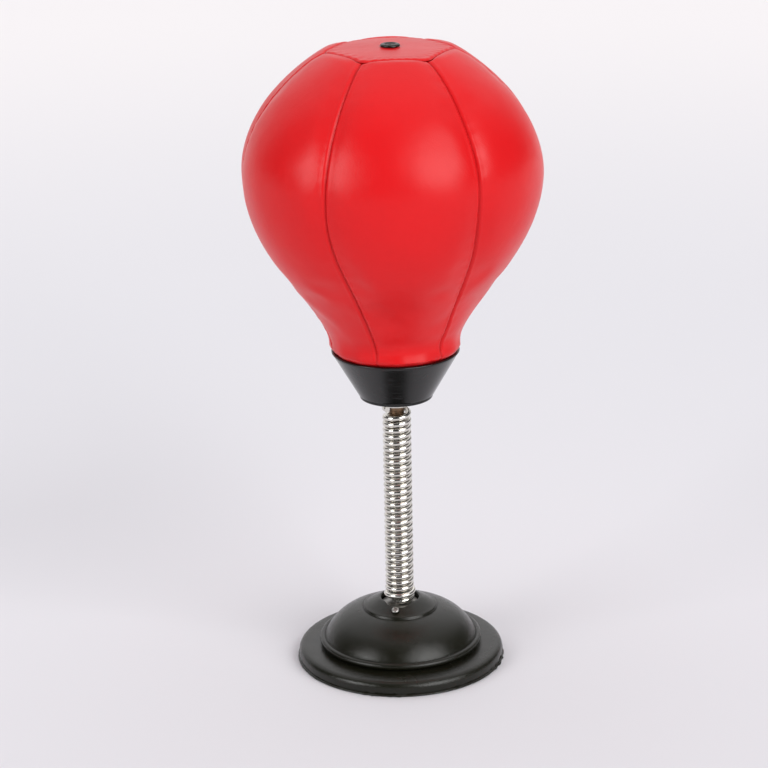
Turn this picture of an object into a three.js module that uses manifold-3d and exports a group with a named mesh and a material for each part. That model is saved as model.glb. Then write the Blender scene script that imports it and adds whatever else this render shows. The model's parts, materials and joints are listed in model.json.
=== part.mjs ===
// Desktop punching bag: suction cup base, close-wound steel spring, plastic bag cup and leather bag.
// Millimetres, Z up. The origin is the centre of the base, on the table. The front faces -Y.
// An azimuth is counted from the front (-Y) towards +X.
import * as THREE from "three";
import { mergeVertices } from "three/addons/utils/BufferGeometryUtils.js";
import Module from "manifold-3d";

const wasm = await Module();
wasm.setup();

// Driving dimensions
const clearance = 0.3; // between neighbouring pieces
const cutOverrun = 2; // how far a cutting solid runs past what it cuts

// Suction cup
const suctionRadius = 60;
const suctionRimThickness = 8.4;
const suctionEdgeChamfer = 0.9;
const suctionLipWidth = 8; // the flat sealing lip
const suctionHollowHeight = 5.5;
const suctionTopHeight = 9.5; // where the dome stands
const suctionTopMargin = 1; // how far its flat top runs past the dome
const suctionBossRadius = 18;
const suctionBossHeight = 16;
const rubberUnderBolt = 2.1;

// Base dome
const domeRadius = 47; // over its beaded edge
const domeBeadRadius = 2;
const domeNeckIn = 1.8; // how far the dome starts inside the bead
const domeRingRadius = 21.4;
const domeRingRise = 21.1; // from the dome's foot to the ring step
const domeRingStep = 1;
const domeShoulder = new THREE.Vector2(37, 17.2); // handle of the dome's curve, above its foot
const domeTopRise = 26.6; // from the dome's foot to the rim of the spring seat
const domeWall = 2.5;
const domeSeatDepth = 5.9;
const domeSeatFloor = 3;
const domeSeatRimWidth = 1.3;
const domeHubRadius = 8;

// Fasteners
const boltHeadRadius = 10;
const boltHeadThickness = 3.2;
const boltBoreClearance = 0.4;
const washerThickness = 1.2;
const hexHeadRadius = 5.8;
const hexHeadHeight = 4;
const cupBoltWasherRadius = 8;
const seatScrewAzimuth = -9;
const seatScrewRadius = 1.2;
const seatScrewLength = 5;
const seatScrewHeadRadius = 2.2;
const seatScrewHeadHeight = 1.3;

// Spring and its two plugs
const wireRadius = 1.65;
const springRadius = 8.3; // over the coils
const springPitch = 3.73;
const springTurns = 30.9;
const springStartAzimuth = -15;
const springGripTurns = 3; // turns held on each plug
const springFlare = 1.1; // how far the second turn stands out
const springFlareTurn = 1; // the turn where the flare is widest
const springFlareSpread = 1; // how many turns it takes to rise and to fall
const springEndLift = 1.5; // how far the last turn opens
const swayJoints = 10; // joints along the spring, turning about X and Y in turn
const plugFlangeMargin = 0.8; // how far the flange runs past the flared turn
const plugFlangeThickness = 1.3;
const plugCoreGap = 0.7; // between a plug's core and the coils
const plugCoreWall = 1;

// Bag cup and clamp
const cupBottomRadius = 20.1;
const cupTopRadius = 36.2;
const cupHeight = 28;
const cupWall = 2.2;
const cupFloor = 3;
const cupBeadHeight = 2;
const cupBeadOut = 0.6;
const cupHubRadius = 7.5;
const cupHubHeight = 3.2;
const clampWall = 2.5;
const clampFloor = 3;
const clampBelowRim = 3;
const hemAboveFloor = 2;

// Leather bag, bladder and valve
const bagRadius = 83.2;
const bagNeckIn = 0.5; // how far inside the cup's rim the leather leaves it
const bagNeckFold = 1.6; // height of the fold where the leather leaves the cup
const bagBellyRise = 104; // from the cup's rim to the widest place
const bagNeckHandle = new THREE.Vector2(3.8, 33.4);
const bagBellyHandle = 42.7;
const bagShoulderHandle = 29.8;
const bagCapHandle = new THREE.Vector2(21.4, 9.2);
const bagCapHeight = 64; // from the widest place to the top panel's corners
const bagCapRadius = 36;
const bagCapCrown = 3.3;
const bagPanels = 6;
const bagSeamAzimuth = 34.5; // one of the seams
const leather = 1.3;
const bladderWall = 0.8;
const bladderFootIn = 1;
const valveFlangeRadius = 5.5;
const valveFlangeThickness = 1.4;
const valveStemRadius = 3;
const valveStemLength = 12;
const valveNeedleRadius = 0.7;
const valveNeedleDepth = 9;

// How finely round shapes are cut into flat faces
const baseSides = 36;
const bagSides = 36;
const smallSides = 20;
const wireSides = 6;
const stepsPerTurn = 10;
const curveSteps = 5;

// Heights of the stack, from the table up
const domeFootZ = suctionTopHeight + clearance;
const domeTopZ = domeFootZ + domeTopRise;
const seatZ = domeTopZ - domeSeatDepth;
const plugFlangeZ = seatZ + clearance + washerThickness + clearance;
const springStartZ = plugFlangeZ + plugFlangeThickness + clearance + wireRadius;
const springEndZ = springStartZ + springTurns * springPitch + springEndLift;
const cupWasherZ = springEndZ + wireRadius + clearance;
const cupHubZ = cupWasherZ + washerThickness + clearance;
const cupBottomZ = cupHubZ + cupHubHeight;
const cupFloorZ = cupBottomZ + cupFloor;
const cupRimZ = cupBottomZ + cupHeight;
const bellyZ = cupRimZ + bagBellyRise;
const capCornerZ = bellyZ + bagCapHeight;
const bagTopZ = capCornerZ + bagCapCrown;
const valveFlangeZ = bagTopZ + clearance;

const plugCoreRadius = springRadius - 2 * wireRadius - plugCoreGap;
const plugFlangeRadius = springRadius + springFlare + plugFlangeMargin;
const boltBoreRadius = plugCoreRadius - plugCoreWall;
const boltRadius = boltBoreRadius - boltBoreClearance;
const stemBoreRadius = valveStemRadius + clearance;
const springCoilRadius = springRadius - wireRadius;
const domeSeatRadius = plugFlangeRadius + 2 * clearance;
const suctionTopRadius = domeRadius + suctionTopMargin;
const bagNeckRadius = cupTopRadius - bagNeckIn;

// Looks
const blackRubber = new THREE.MeshStandardMaterial({ color: 0x2b2a26, roughness: 0.55, metalness: 0 });
const blackPlastic = new THREE.MeshStandardMaterial({ color: 0x131314, roughness: 0.2, metalness: 0 });
const chrome = new THREE.MeshStandardMaterial({ color: 0xd9d7d0, roughness: 0.15, metalness: 1 });
const steel = new THREE.MeshStandardMaterial({ color: 0x9b9a96, roughness: 0.35, metalness: 1 });
const brass = new THREE.MeshStandardMaterial({ color: 0x8c6f4e, roughness: 0.4, metalness: 1 });
const redLeather = new THREE.MeshStandardMaterial({ color: 0xd8191f, roughness: 0.35, metalness: 0 });
const bladderRubber = new THREE.MeshStandardMaterial({ color: 0x3a3230, roughness: 0.6, metalness: 0 });

const group = new THREE.Group();

function addPiece(name, geometry, material) {
  const mesh = new THREE.Mesh(geometry, material);
  mesh.name = name;
  group.add(mesh);
}

// A unit vector in plan at an azimuth in degrees.
function planDirection(azimuth) {
  const angle = THREE.MathUtils.degToRad(azimuth);
  return new THREE.Vector2(Math.sin(angle), -Math.cos(angle));
}

// Turns an outline of [radius, height] pairs, anticlockwise with the axis on the left, round the Z axis.
function revolve(outline, sides, startAzimuth = 0) {
  const points = outline.map(([radius, height]) => new THREE.Vector2(radius, height));
  const [first, last] = [points[0], points[points.length - 1]];
  if (first.x > 0 || last.x > 0) points.push(first.clone());
  const geometry = new THREE.LatheGeometry(points, sides, THREE.MathUtils.degToRad(startAzimuth));
  return geometry.rotateX(Math.PI / 2);
}

function curvePoints(curve, steps = curveSteps) {
  return curve.getPoints(steps).map((point) => [point.x, point.y]);
}

// Moves each point of an open outline to its left by a distance.
function offsetOutline(outline, distance) {
  return outline.map(([radius, height], i) => {
    const [beforeRadius, beforeHeight] = outline[Math.max(i - 1, 0)];
    const [afterRadius, afterHeight] = outline[Math.min(i + 1, outline.length - 1)];
    const along = new THREE.Vector2(afterRadius - beforeRadius, afterHeight - beforeHeight).normalize();
    return [radius - along.y * distance, height + along.x * distance];
  });
}

// A closed geometry as a solid that can be joined and cut.
function solidOf(geometry) {
  const bare = geometry.clone();
  bare.deleteAttribute("normal");
  bare.deleteAttribute("uv");
  const merged = mergeVertices(bare, 1e-4);
  const vertProperties = merged.attributes.position.array;
  const triVerts = new Uint32Array(merged.index.array);
  return new wasm.Manifold(new wasm.Mesh({ numProp: 3, vertProperties, triVerts }));
}

function geometryOf(solid) {
  const mesh = solid.getMesh();
  const geometry = new THREE.BufferGeometry();
  geometry.setAttribute("position", new THREE.BufferAttribute(mesh.vertProperties, 3));
  geometry.setIndex(new THREE.BufferAttribute(mesh.triVerts, 1));
  geometry.computeVertexNormals();
  return geometry;
}

// An upright prism over a plan outline.
function prism(planPoints, bottomZ, topZ) {
  const shape = new THREE.Shape(planPoints);
  const geometry = new THREE.ExtrudeGeometry(shape, { depth: topZ - bottomZ, bevelEnabled: false });
  return solidOf(geometry.translate(0, 0, bottomZ));
}

function washer(boreRadius, outerRadius, bottomZ) {
  const topZ = bottomZ + washerThickness;
  const outline = [
    [boreRadius, bottomZ],
    [outerRadius, bottomZ],
    [outerRadius, topZ],
    [boreRadius, topZ],
  ];
  return revolve(outline, smallSides);
}

function suctionCup() {
  const lipInner = suctionRadius - suctionEdgeChamfer - suctionLipWidth;
  const headRadius = boltHeadRadius + clearance;
  const headBottomZ = suctionHollowHeight + rubberUnderBolt;
  const headTopZ = headBottomZ + boltHeadThickness + 2 * clearance;
  const hollow = new THREE.QuadraticBezierCurve(
    new THREE.Vector2(0, suctionHollowHeight),
    new THREE.Vector2(lipInner * 0.66, suctionHollowHeight),
    new THREE.Vector2(lipInner, 0),
  );
  const outline = [
    ...curvePoints(hollow),
    [suctionRadius - suctionEdgeChamfer, 0],
    [suctionRadius, suctionEdgeChamfer],
    [suctionRadius, suctionRimThickness - suctionEdgeChamfer],
    [suctionRadius - suctionEdgeChamfer, suctionRimThickness],
    [suctionTopRadius, suctionTopHeight],
    [suctionBossRadius + 1, suctionTopHeight],
    [suctionBossRadius, suctionBossHeight],
    [boltBoreRadius, suctionBossHeight],
    [boltBoreRadius, headTopZ],
    [headRadius, headTopZ],
    [headRadius, headBottomZ],
    [0, headBottomZ],
  ];
  return revolve(outline, baseSides);
}

function anchorBolt() {
  const headBottomZ = suctionHollowHeight + rubberUnderBolt + clearance;
  const headTopZ = headBottomZ + boltHeadThickness;
  const shankTopZ = plugFlangeZ + plugFlangeThickness + springGripTurns * springPitch;
  const outline = [
    [0, headBottomZ],
    [boltHeadRadius, headBottomZ],
    [boltHeadRadius, headTopZ],
    [boltRadius, headTopZ],
    [boltRadius, shankTopZ],
    [0, shankTopZ],
  ];
  return revolve(outline, smallSides);
}

// Where the seat screw's head rests on the cone inside the ring step, and how far the cone leans there.
const ringTop = new THREE.Vector2(domeRingRadius - domeRingStep / 2, domeFootZ + domeRingRise + domeRingStep);
const seatRim = new THREE.Vector2(domeSeatRadius + domeSeatRimWidth, domeTopZ);
const seatScrewSpot = ringTop.clone().lerp(seatRim, 0.5);
const coneSlope = Math.atan2(seatRim.y - ringTop.y, ringTop.x - seatRim.x);

// Stands a solid of revolution on the cone at the seat screw's place, square to its surface.
function onSeatCone(geometry, height) {
  geometry.translate(0, 0, height);
  geometry.rotateX(coneSlope);
  geometry.translate(0, -seatScrewSpot.x, seatScrewSpot.y);
  return geometry.rotateZ(THREE.MathUtils.degToRad(seatScrewAzimuth));
}

function baseDome() {
  const beadZ = domeFootZ + domeBeadRadius;
  const beadCentre = domeRadius - domeBeadRadius;
  const bead = new THREE.EllipseCurve(
    beadCentre,
    beadZ,
    domeBeadRadius,
    domeBeadRadius,
    -Math.PI / 2,
    Math.PI / 2,
  );
  const dome = new THREE.QuadraticBezierCurve(
    new THREE.Vector2(domeRadius - domeNeckIn, beadZ + domeBeadRadius),
    new THREE.Vector2(domeShoulder.x, domeFootZ + domeShoulder.y),
    new THREE.Vector2(domeRingRadius, domeFootZ + domeRingRise),
  );
  const roof = curvePoints(dome);
  const ceilingZ = seatZ - domeSeatFloor;
  const inside = offsetOutline(roof, domeWall).reverse();
  const outline = [
    [beadCentre - domeWall, domeFootZ],
    ...curvePoints(bead, 4),
    ...roof,
    [ringTop.x, ringTop.y],
    [seatRim.x, seatRim.y],
    [domeSeatRadius, domeTopZ - domeSeatRimWidth / 2],
    [domeSeatRadius, seatZ],
    [boltBoreRadius, seatZ],
    [boltBoreRadius, suctionBossHeight + clearance],
    [domeHubRadius, suctionBossHeight + clearance],
    [domeHubRadius, ceilingZ],
    [domeSeatRadius + domeWall, ceilingZ],
    ...inside,
  ];
  const shell = solidOf(revolve(outline, baseSides));
  const boreLength = seatScrewLength + cutOverrun;
  const bore = new THREE.CylinderGeometry(
    seatScrewRadius + clearance,
    seatScrewRadius + clearance,
    2 * boreLength,
    smallSides / 2,
  ).rotateX(Math.PI / 2);
  return geometryOf(shell.subtract(solidOf(onSeatCone(bore, 0))));
}

function seatScrew() {
  const outline = [
    [0, -seatScrewLength],
    [seatScrewRadius, -seatScrewLength],
    [seatScrewRadius, 0],
    [seatScrewHeadRadius, 0],
    [seatScrewHeadRadius, seatScrewHeadHeight * 0.6],
    [seatScrewHeadRadius * 0.6, seatScrewHeadHeight],
    [0, seatScrewHeadHeight],
  ];
  return onSeatCone(revolve(outline, smallSides / 2), clearance);
}

function lowerPlug() {
  const coreTopZ = springStartZ + springGripTurns * springPitch;
  const flangeTopZ = plugFlangeZ + plugFlangeThickness;
  const outline = [
    [boltBoreRadius, plugFlangeZ],
    [plugFlangeRadius, plugFlangeZ],
    [plugFlangeRadius, flangeTopZ],
    [plugCoreRadius, flangeTopZ],
    [plugCoreRadius, coreTopZ],
    [boltBoreRadius, coreTopZ],
  ];
  return revolve(outline, smallSides);
}

// The centre line of the wire between two turn numbers.
class SpringLine extends THREE.Curve {
  constructor(startTurn, endTurn) {
    super();
    this.startTurn = startTurn;
    this.endTurn = endTurn;
  }
  getPoint(t, target = new THREE.Vector3()) {
    const turn = THREE.MathUtils.lerp(this.startTurn, this.endTurn, t);
    const plan = planDirection(springStartAzimuth + 360 * turn);
    const fromFlare = Math.min(Math.abs(turn - springFlareTurn) / springFlareSpread, 1);
    const radius = springCoilRadius + springFlare * (1 - THREE.MathUtils.smoothstep(fromFlare, 0, 1));
    const opening = springEndLift * THREE.MathUtils.smoothstep(turn, springTurns - 1, springTurns);
    return target.set(radius * plan.x, radius * plan.y, springStartZ + turn * springPitch + opening);
  }
}

function springPiece(startTurn, endTurn) {
  const corners = [];
  for (let i = 0; i < wireSides; i++) {
    const angle = (2 * Math.PI * i) / wireSides;
    corners.push(new THREE.Vector2(wireRadius * Math.cos(angle), wireRadius * Math.sin(angle)));
  }
  return new THREE.ExtrudeGeometry(new THREE.Shape(corners), {
    extrudePath: new SpringLine(startTurn, endTurn),
    steps: Math.ceil((endTurn - startTurn) * stepsPerTurn),
    bevelEnabled: false,
  });
}

// The spring is one wire, cut at each sway joint with a clearance so that its sections can turn.
function addSpring() {
  const flexTurns = springTurns - 2 * springGripTurns;
  const cutTurns = clearance / (2 * Math.PI * springCoilRadius);
  const cuts = [];
  for (let i = 0; i < swayJoints; i++) {
    cuts.push(springGripTurns + (flexTurns * (i + 0.5)) / swayJoints);
  }
  addPiece("spring_lower_end", springPiece(0, cuts[0] - cutTurns / 2), chrome);
  for (let i = 1; i < swayJoints; i++) {
    const piece = springPiece(cuts[i - 1] + cutTurns / 2, cuts[i] - cutTurns / 2);
    addPiece(`spring_section_${i}`, piece, chrome);
  }
  addPiece("spring_upper_end", springPiece(cuts[swayJoints - 1] + cutTurns / 2, springTurns), chrome);
}

function upperPlug() {
  const bottomZ = springEndZ - springGripTurns * springPitch;
  const topZ = cupWasherZ - clearance;
  const outline = [
    [boltBoreRadius, bottomZ],
    [plugCoreRadius, bottomZ],
    [plugCoreRadius, topZ],
    [boltBoreRadius, topZ],
  ];
  return revolve(outline, smallSides);
}

// The cone of the bag cup at a height, and moved in from its outer face by a distance square to it.
const cupSlope = (cupTopRadius - cupBottomRadius) / cupHeight;
function coneRadius(height, inset) {
  return cupBottomRadius + (height - cupBottomZ) * cupSlope - inset * Math.hypot(1, cupSlope);
}

const leatherInset = cupWall + clearance;
const clampInset = leatherInset + leather + clearance;

function bagCup() {
  const beadTopZ = cupBottomZ + cupBeadHeight;
  const outline = [
    [boltBoreRadius, cupHubZ],
    [cupHubRadius, cupHubZ],
    [cupHubRadius, cupBottomZ],
    [cupBottomRadius, cupBottomZ],
    [cupBottomRadius + cupBeadOut, cupBottomZ + cupBeadHeight / 3],
    [cupBottomRadius + cupBeadOut, beadTopZ - cupBeadHeight / 4],
    [coneRadius(beadTopZ, 0), beadTopZ],
    [cupTopRadius, cupRimZ],
    [coneRadius(cupRimZ, cupWall), cupRimZ],
    [coneRadius(cupFloorZ, cupWall), cupFloorZ],
    [boltBoreRadius, cupFloorZ],
  ];
  return revolve(outline, baseSides, bagSeamAzimuth);
}

const clampBottomZ = cupFloorZ + clearance;
const clampTopZ = cupRimZ - clampBelowRim;

function clampPlug() {
  const floorTopZ = clampBottomZ + clampFloor;
  const outline = [
    [boltBoreRadius, clampBottomZ],
    [coneRadius(clampBottomZ, clampInset), clampBottomZ],
    [coneRadius(clampTopZ, clampInset), clampTopZ],
    [coneRadius(clampTopZ, clampInset + clampWall), clampTopZ],
    [coneRadius(floorTopZ, clampInset + clampWall), floorTopZ],
    [boltBoreRadius, floorTopZ],
  ];
  return revolve(outline, baseSides, bagSeamAzimuth);
}

const cupBoltWasherZ = clampBottomZ + clampFloor + clearance;

function cupBolt() {
  const headZ = cupBoltWasherZ + washerThickness + clearance;
  const shankBottomZ = springEndZ - springGripTurns * springPitch;
  const shankLength = headZ - shankBottomZ + cutOverrun;
  const head = new THREE.CylinderGeometry(hexHeadRadius, hexHeadRadius, hexHeadHeight, 6);
  head.rotateX(Math.PI / 2).translate(0, 0, headZ + hexHeadHeight / 2);
  const shank = new THREE.CylinderGeometry(boltRadius, boltRadius, shankLength, smallSides);
  shank.rotateX(Math.PI / 2).translate(0, 0, shankBottomZ + shankLength / 2);
  return geometryOf(solidOf(head).add(solidOf(shank)));
}

// The outer face of the leather, from its hem in the cup to the edge of the valve hole.
function bagOutline() {
  const foldZ = cupRimZ + bagNeckFold;
  const flank = new THREE.CubicBezierCurve(
    new THREE.Vector2(bagNeckRadius, foldZ),
    new THREE.Vector2(bagNeckRadius + bagNeckHandle.x, foldZ + bagNeckHandle.y),
    new THREE.Vector2(bagRadius, bellyZ - bagBellyHandle),
    new THREE.Vector2(bagRadius, bellyZ),
  );
  const shoulder = new THREE.CubicBezierCurve(
    new THREE.Vector2(bagRadius, bellyZ),
    new THREE.Vector2(bagRadius, bellyZ + bagShoulderHandle),
    new THREE.Vector2(bagCapRadius + bagCapHandle.x, capCornerZ - bagCapHandle.y),
    new THREE.Vector2(bagCapRadius, capCornerZ),
  );
  const crown = new THREE.QuadraticBezierCurve(
    new THREE.Vector2(bagCapRadius, capCornerZ),
    new THREE.Vector2(bagCapRadius / 2, bagTopZ),
    new THREE.Vector2(stemBoreRadius, bagTopZ),
  );
  const hemZ = cupFloorZ + hemAboveFloor;
  return [
    [coneRadius(hemZ, leatherInset), hemZ],
    [coneRadius(cupRimZ, leatherInset), cupRimZ],
    ...curvePoints(flank),
    ...curvePoints(shoulder).slice(1),
    ...curvePoints(crown, 3).slice(1),
  ];
}

// The leather is one revolved shell cut along its seams into six gores and a six-sided top panel.
function addLeather() {
  const outer = bagOutline();
  const inner = offsetOutline(outer, leather);
  inner[inner.length - 1][0] = stemBoreRadius;
  const shell = solidOf(revolve([...outer, ...inner.reverse()], bagSides, bagSeamAzimuth));
  const seamStep = 360 / bagPanels;
  const topZ = bagTopZ + cutOverrun;
  const capPlan = (radius) => {
    const corners = [];
    for (let i = 0; i < bagPanels; i++) {
      corners.push(planDirection(bagSeamAzimuth + i * seamStep).multiplyScalar(radius));
    }
    return corners;
  };
  const capSeam = clearance / Math.cos(Math.PI / bagPanels);
  const gores = shell.subtract(prism(capPlan(bagCapRadius + capSeam), bellyZ, topZ));
  for (let i = 0; i < bagPanels; i++) {
    const azimuth = bagSeamAzimuth + i * seamStep;
    const middle = planDirection(azimuth + seamStep / 2);
    const tip = middle.multiplyScalar(clearance / 2 / Math.sin(Math.PI / bagPanels));
    const reach = 2 * bagRadius;
    const wedge = [
      tip,
      planDirection(azimuth).multiplyScalar(reach).add(tip),
      planDirection(azimuth + seamStep).multiplyScalar(reach).add(tip),
    ];
    const panel = gores.intersect(prism(wedge, cupBottomZ, topZ));
    addPiece(`bag_panel_${i + 1}`, geometryOf(panel), redLeather);
  }
  const top = shell.intersect(prism(capPlan(bagCapRadius), bellyZ, topZ));
  addPiece("bag_top_panel", geometryOf(top), redLeather);
}

function airBladder() {
  const footZ = clampTopZ + clearance;
  const footRadius = coneRadius(footZ, clampInset) - bladderFootIn;
  const outer = offsetOutline(bagOutline(), leather + clearance);
  outer[outer.length - 1][0] = stemBoreRadius;
  const above = outer.filter(([, height]) => height > cupRimZ + clearance);
  const wall = [[footRadius, footZ], ...above];
  const inner = offsetOutline(wall, bladderWall);
  inner[0] = [footRadius - bladderWall, footZ + bladderWall];
  inner[inner.length - 1][0] = stemBoreRadius;
  const outline = [[0, footZ], ...wall, ...inner.reverse(), [0, footZ + bladderWall]];
  return revolve(outline, bagSides, bagSeamAzimuth);
}

function airValve() {
  const topZ = valveFlangeZ + valveFlangeThickness;
  const stemZ = valveFlangeZ - valveStemLength;
  const outline = [
    [0, stemZ],
    [valveStemRadius, stemZ],
    [valveStemRadius, valveFlangeZ],
    [valveFlangeRadius, valveFlangeZ],
    [valveFlangeRadius, topZ - valveFlangeThickness / 3],
    [valveFlangeRadius * 0.8, topZ],
    [valveNeedleRadius, topZ],
    [valveNeedleRadius, topZ - valveNeedleDepth],
    [0, topZ - valveNeedleDepth],
  ];
  return revolve(outline, smallSides);
}

// Base
addPiece("suction_cup", suctionCup(), blackRubber);
addPiece("anchor_bolt", anchorBolt(), steel);
addPiece("base_dome", baseDome(), blackRubber);
addPiece("spring_retaining_screw", seatScrew(), steel);
addPiece("plug_washer", washer(boltBoreRadius, plugFlangeRadius, seatZ + clearance), steel);
addPiece("lower_spring_plug", lowerPlug(), steel);

addSpring();

// Bag
addPiece("upper_spring_plug", upperPlug(), brass);
addPiece("cup_washer", washer(boltBoreRadius, springRadius, cupWasherZ), chrome);
addPiece("bag_cup", bagCup(), blackPlastic);
addPiece("clamp_plug", clampPlug(), blackPlastic);
addPiece("cup_bolt_washer", washer(boltBoreRadius, cupBoltWasherRadius, cupBoltWasherZ), steel);
addPiece("cup_bolt", cupBolt(), steel);
addLeather();
addPiece("air_bladder", airBladder(), bladderRubber);
addPiece("air_valve", airValve(), blackRubber);

export default group;
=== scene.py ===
"""A desktop punching bag: rubber suction cup base, chromed spring, plastic bag cup and a padded leather bag.

Lengths are in metres with Z up. The origin is on the table, under the middle of the base.
The front faces -Y, and an azimuth is counted in degrees from the front towards +X.
"""

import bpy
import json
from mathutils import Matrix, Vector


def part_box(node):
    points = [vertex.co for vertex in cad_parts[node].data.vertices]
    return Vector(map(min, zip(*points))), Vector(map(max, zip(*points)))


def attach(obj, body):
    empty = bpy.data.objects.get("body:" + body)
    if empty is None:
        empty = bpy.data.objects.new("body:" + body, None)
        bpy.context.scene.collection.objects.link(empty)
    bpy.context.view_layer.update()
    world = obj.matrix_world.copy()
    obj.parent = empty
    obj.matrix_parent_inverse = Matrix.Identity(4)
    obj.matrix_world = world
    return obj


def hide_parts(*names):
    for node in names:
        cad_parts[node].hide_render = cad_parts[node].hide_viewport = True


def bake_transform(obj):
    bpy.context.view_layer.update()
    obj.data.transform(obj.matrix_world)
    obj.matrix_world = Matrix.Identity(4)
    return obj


bl_info = {
    "name": "Desktop Punching Bag",
    "version": (1, 0, 0),
    "blender": (4, 5, 0),
    "location": "View3D > Sidebar > Punching Bag",
    "description": "Models a desktop punching bag on a spring stand round its construction frame",
    "category": "Add Mesh",
}

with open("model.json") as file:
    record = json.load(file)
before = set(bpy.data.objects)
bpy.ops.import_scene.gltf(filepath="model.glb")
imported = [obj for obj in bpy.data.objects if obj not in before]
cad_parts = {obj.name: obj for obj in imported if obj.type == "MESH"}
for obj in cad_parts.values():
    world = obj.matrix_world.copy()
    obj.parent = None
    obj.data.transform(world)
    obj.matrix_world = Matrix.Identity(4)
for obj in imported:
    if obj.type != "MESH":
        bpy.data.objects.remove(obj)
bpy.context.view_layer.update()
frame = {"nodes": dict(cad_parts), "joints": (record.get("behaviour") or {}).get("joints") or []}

import json
import math

import bpy
import numpy as np
from bpy.props import FloatProperty, FloatVectorProperty, IntProperty, PointerProperty
from mathutils import Matrix, Vector, noise

MM = 0.001
CLEARANCE = 0.3 * MM  # between neighbouring pieces
ROUND_SIDES = 144
SMALL_SIDES = 64
BOLT_BORE = 3.3 * MM  # radius of the holes on the axis, for the bolts
VALVE_BORE = 3.3 * MM  # radius of the hole in the leather, for the valve
CORE_GAP = 0.7 * MM  # between a plug's core and the coils round it


def foot_of(node):
    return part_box(node)[0].z


def top_of(node):
    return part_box(node)[1].z


# ----------------------------------------------------------------------------
# Sizes and colours that a user would change


def length(name, description, default):
    return FloatProperty(name=name, description=description, default=default, unit="LENGTH", precision=5)


def number(name, description, default, **limits):
    return FloatProperty(name=name, description=description, default=default, **limits)


def colour(name, description, default):
    return FloatVectorProperty(
        name=name, description=description, default=default, size=3, min=0, max=1, subtype="COLOR"
    )


class BaseSettings(bpy.types.PropertyGroup):
    """The rubber base"""

    flange_radius: length("Flange radius", "Radius of the suction cup", 60 * MM)
    flange_edge: length("Flange edge", "Height of the flange's rounded outer edge", 8.4 * MM)
    flange_crown: length("Flange crown", "Height of the flange where it goes under the dome", 9.1 * MM)
    hollow_height: length("Hollow height", "Height of the hollow under the suction cup", 5.5 * MM)
    lip_width: length("Lip width", "Width of the flat sealing lip", 8 * MM)
    dome_radius: length("Dome radius", "Radius over the dome's bead", 47 * MM)
    bead_radius: length("Bead radius", "Radius of the bead round the dome's edge", 1.9 * MM)
    ring_radius: length("Ring radius", "Radius of the small step near the dome's top", 21.4 * MM)
    ring_rise: length("Ring rise", "Height of the step above the dome's foot", 21.1 * MM)
    seat_radius: length("Seat radius", "Radius of the hole that the spring stands in", 10.8 * MM)
    seat_depth: length("Seat depth", "Depth of that hole", 5.9 * MM)
    flash: length("Mould flash", "How ragged the moulded edge of the flange is", 0.55 * MM)
    rubber: colour("Rubber", "Colour of the base", (0.0062, 0.0064, 0.0030))
    bloom: colour("Bloom", "Colour of the dull film on the rubber", (0.018, 0.016, 0.011))


class SpringSettings(bpy.types.PropertyGroup):
    """The close-wound spring"""

    wire_radius: length("Wire radius", "Radius of the spring wire", 1.65 * MM)
    radius: length("Spring radius", "Radius over the coils", 8.3 * MM)
    pitch: length("Pitch", "Height of one turn", 3.73 * MM)
    turns: number("Turns", "Number of turns", 30.9, min=1)
    start_azimuth: number("Start azimuth", "Where the lower end of the wire is, in degrees", -15)
    grip_turns: number("Grip turns", "Turns held on each plug", 3, min=0)
    flare: length("Flare", "How far the second turn stands out", 1.1 * MM)
    end_lift: length("End lift", "How far the last turn opens", 1.5 * MM)
    plug_flange: length("Plug flange", "Thickness of the lower plug's flange", 1.3 * MM)
    steps: IntProperty(name="Steps", description="Straight steps in one turn", default=48, min=12)
    chrome: colour("Chrome", "Colour of the plated wire", (0.80, 0.785, 0.74))


class CupSettings(bpy.types.PropertyGroup):
    """The plastic cup that holds the neck of the bag"""

    bottom_radius: length("Bottom radius", "Radius at the cup's foot", 20.1 * MM)
    top_radius: length("Top radius", "Radius at the cup's rim", 36.2 * MM)
    hub_height: length("Hub height", "Height of the boss under the cup", 3.2 * MM)
    wall: length("Wall", "Thickness of the cup's wall", 2.2 * MM)
    floor: length("Floor", "Thickness of the cup's floor", 3 * MM)
    bead_height: length("Bead height", "Height of the bead round the foot", 2 * MM)
    bead_out: length("Bead", "How far the bead stands out", 0.6 * MM)
    plastic: colour("Plastic", "Colour of the cup", (0.0022, 0.0023, 0.0020))


class BagSettings(bpy.types.PropertyGroup):
    """The padded leather bag"""

    radius: length("Bag radius", "Radius at the widest place", 83.2 * MM)
    belly_rise: length("Belly rise", "From the cup's rim to the widest place", 104 * MM)
    neck_radius: length("Neck radius", "Radius where the leather leaves the cup", 36.1 * MM)
    panels: IntProperty(name="Panels", description="Number of side panels", default=6, min=3)
    seam_azimuth: number("Seam azimuth", "Where one seam is, in degrees", 34.5)
    neck_twist: number("Neck twist", "How far the seams lean round at the neck, in degrees", 9)
    neck_roll: length("Neck roll", "How far the leather bulges over the cup's rim", 2.0 * MM)
    cap_radius: length("Top panel", "Radius of the top panel over its corners", 36 * MM)
    pillow: length("Pillow", "How far a panel stands out between its seams", 1.0 * MM)
    seam_depth: length("Seam depth", "Depth of a seam's crease", 0.55 * MM)
    seam_width: length("Seam width", "Half the width of a seam's crease", 0.5 * MM)
    seam_roll: length("Seam roll", "How far a panel's edge rolls in towards its seam", 0.55 * MM)
    pucker: length("Pucker", "Height of the small gathers beside a seam", 0.16 * MM)
    thickness: length("Thickness", "Thickness of the leather", 1.0 * MM)
    leather: colour("Leather", "Colour of the leather", (0.70, 0.0085, 0.0110))
    # Painted shade colour: the leather is darkened towards it in its seams and where it meets the cup's rim,
    # where shade falls.
    painted_shade: colour("Leather shade", "Colour of the leather in its seams and folds", (0.38, 0.005, 0.007))


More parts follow.
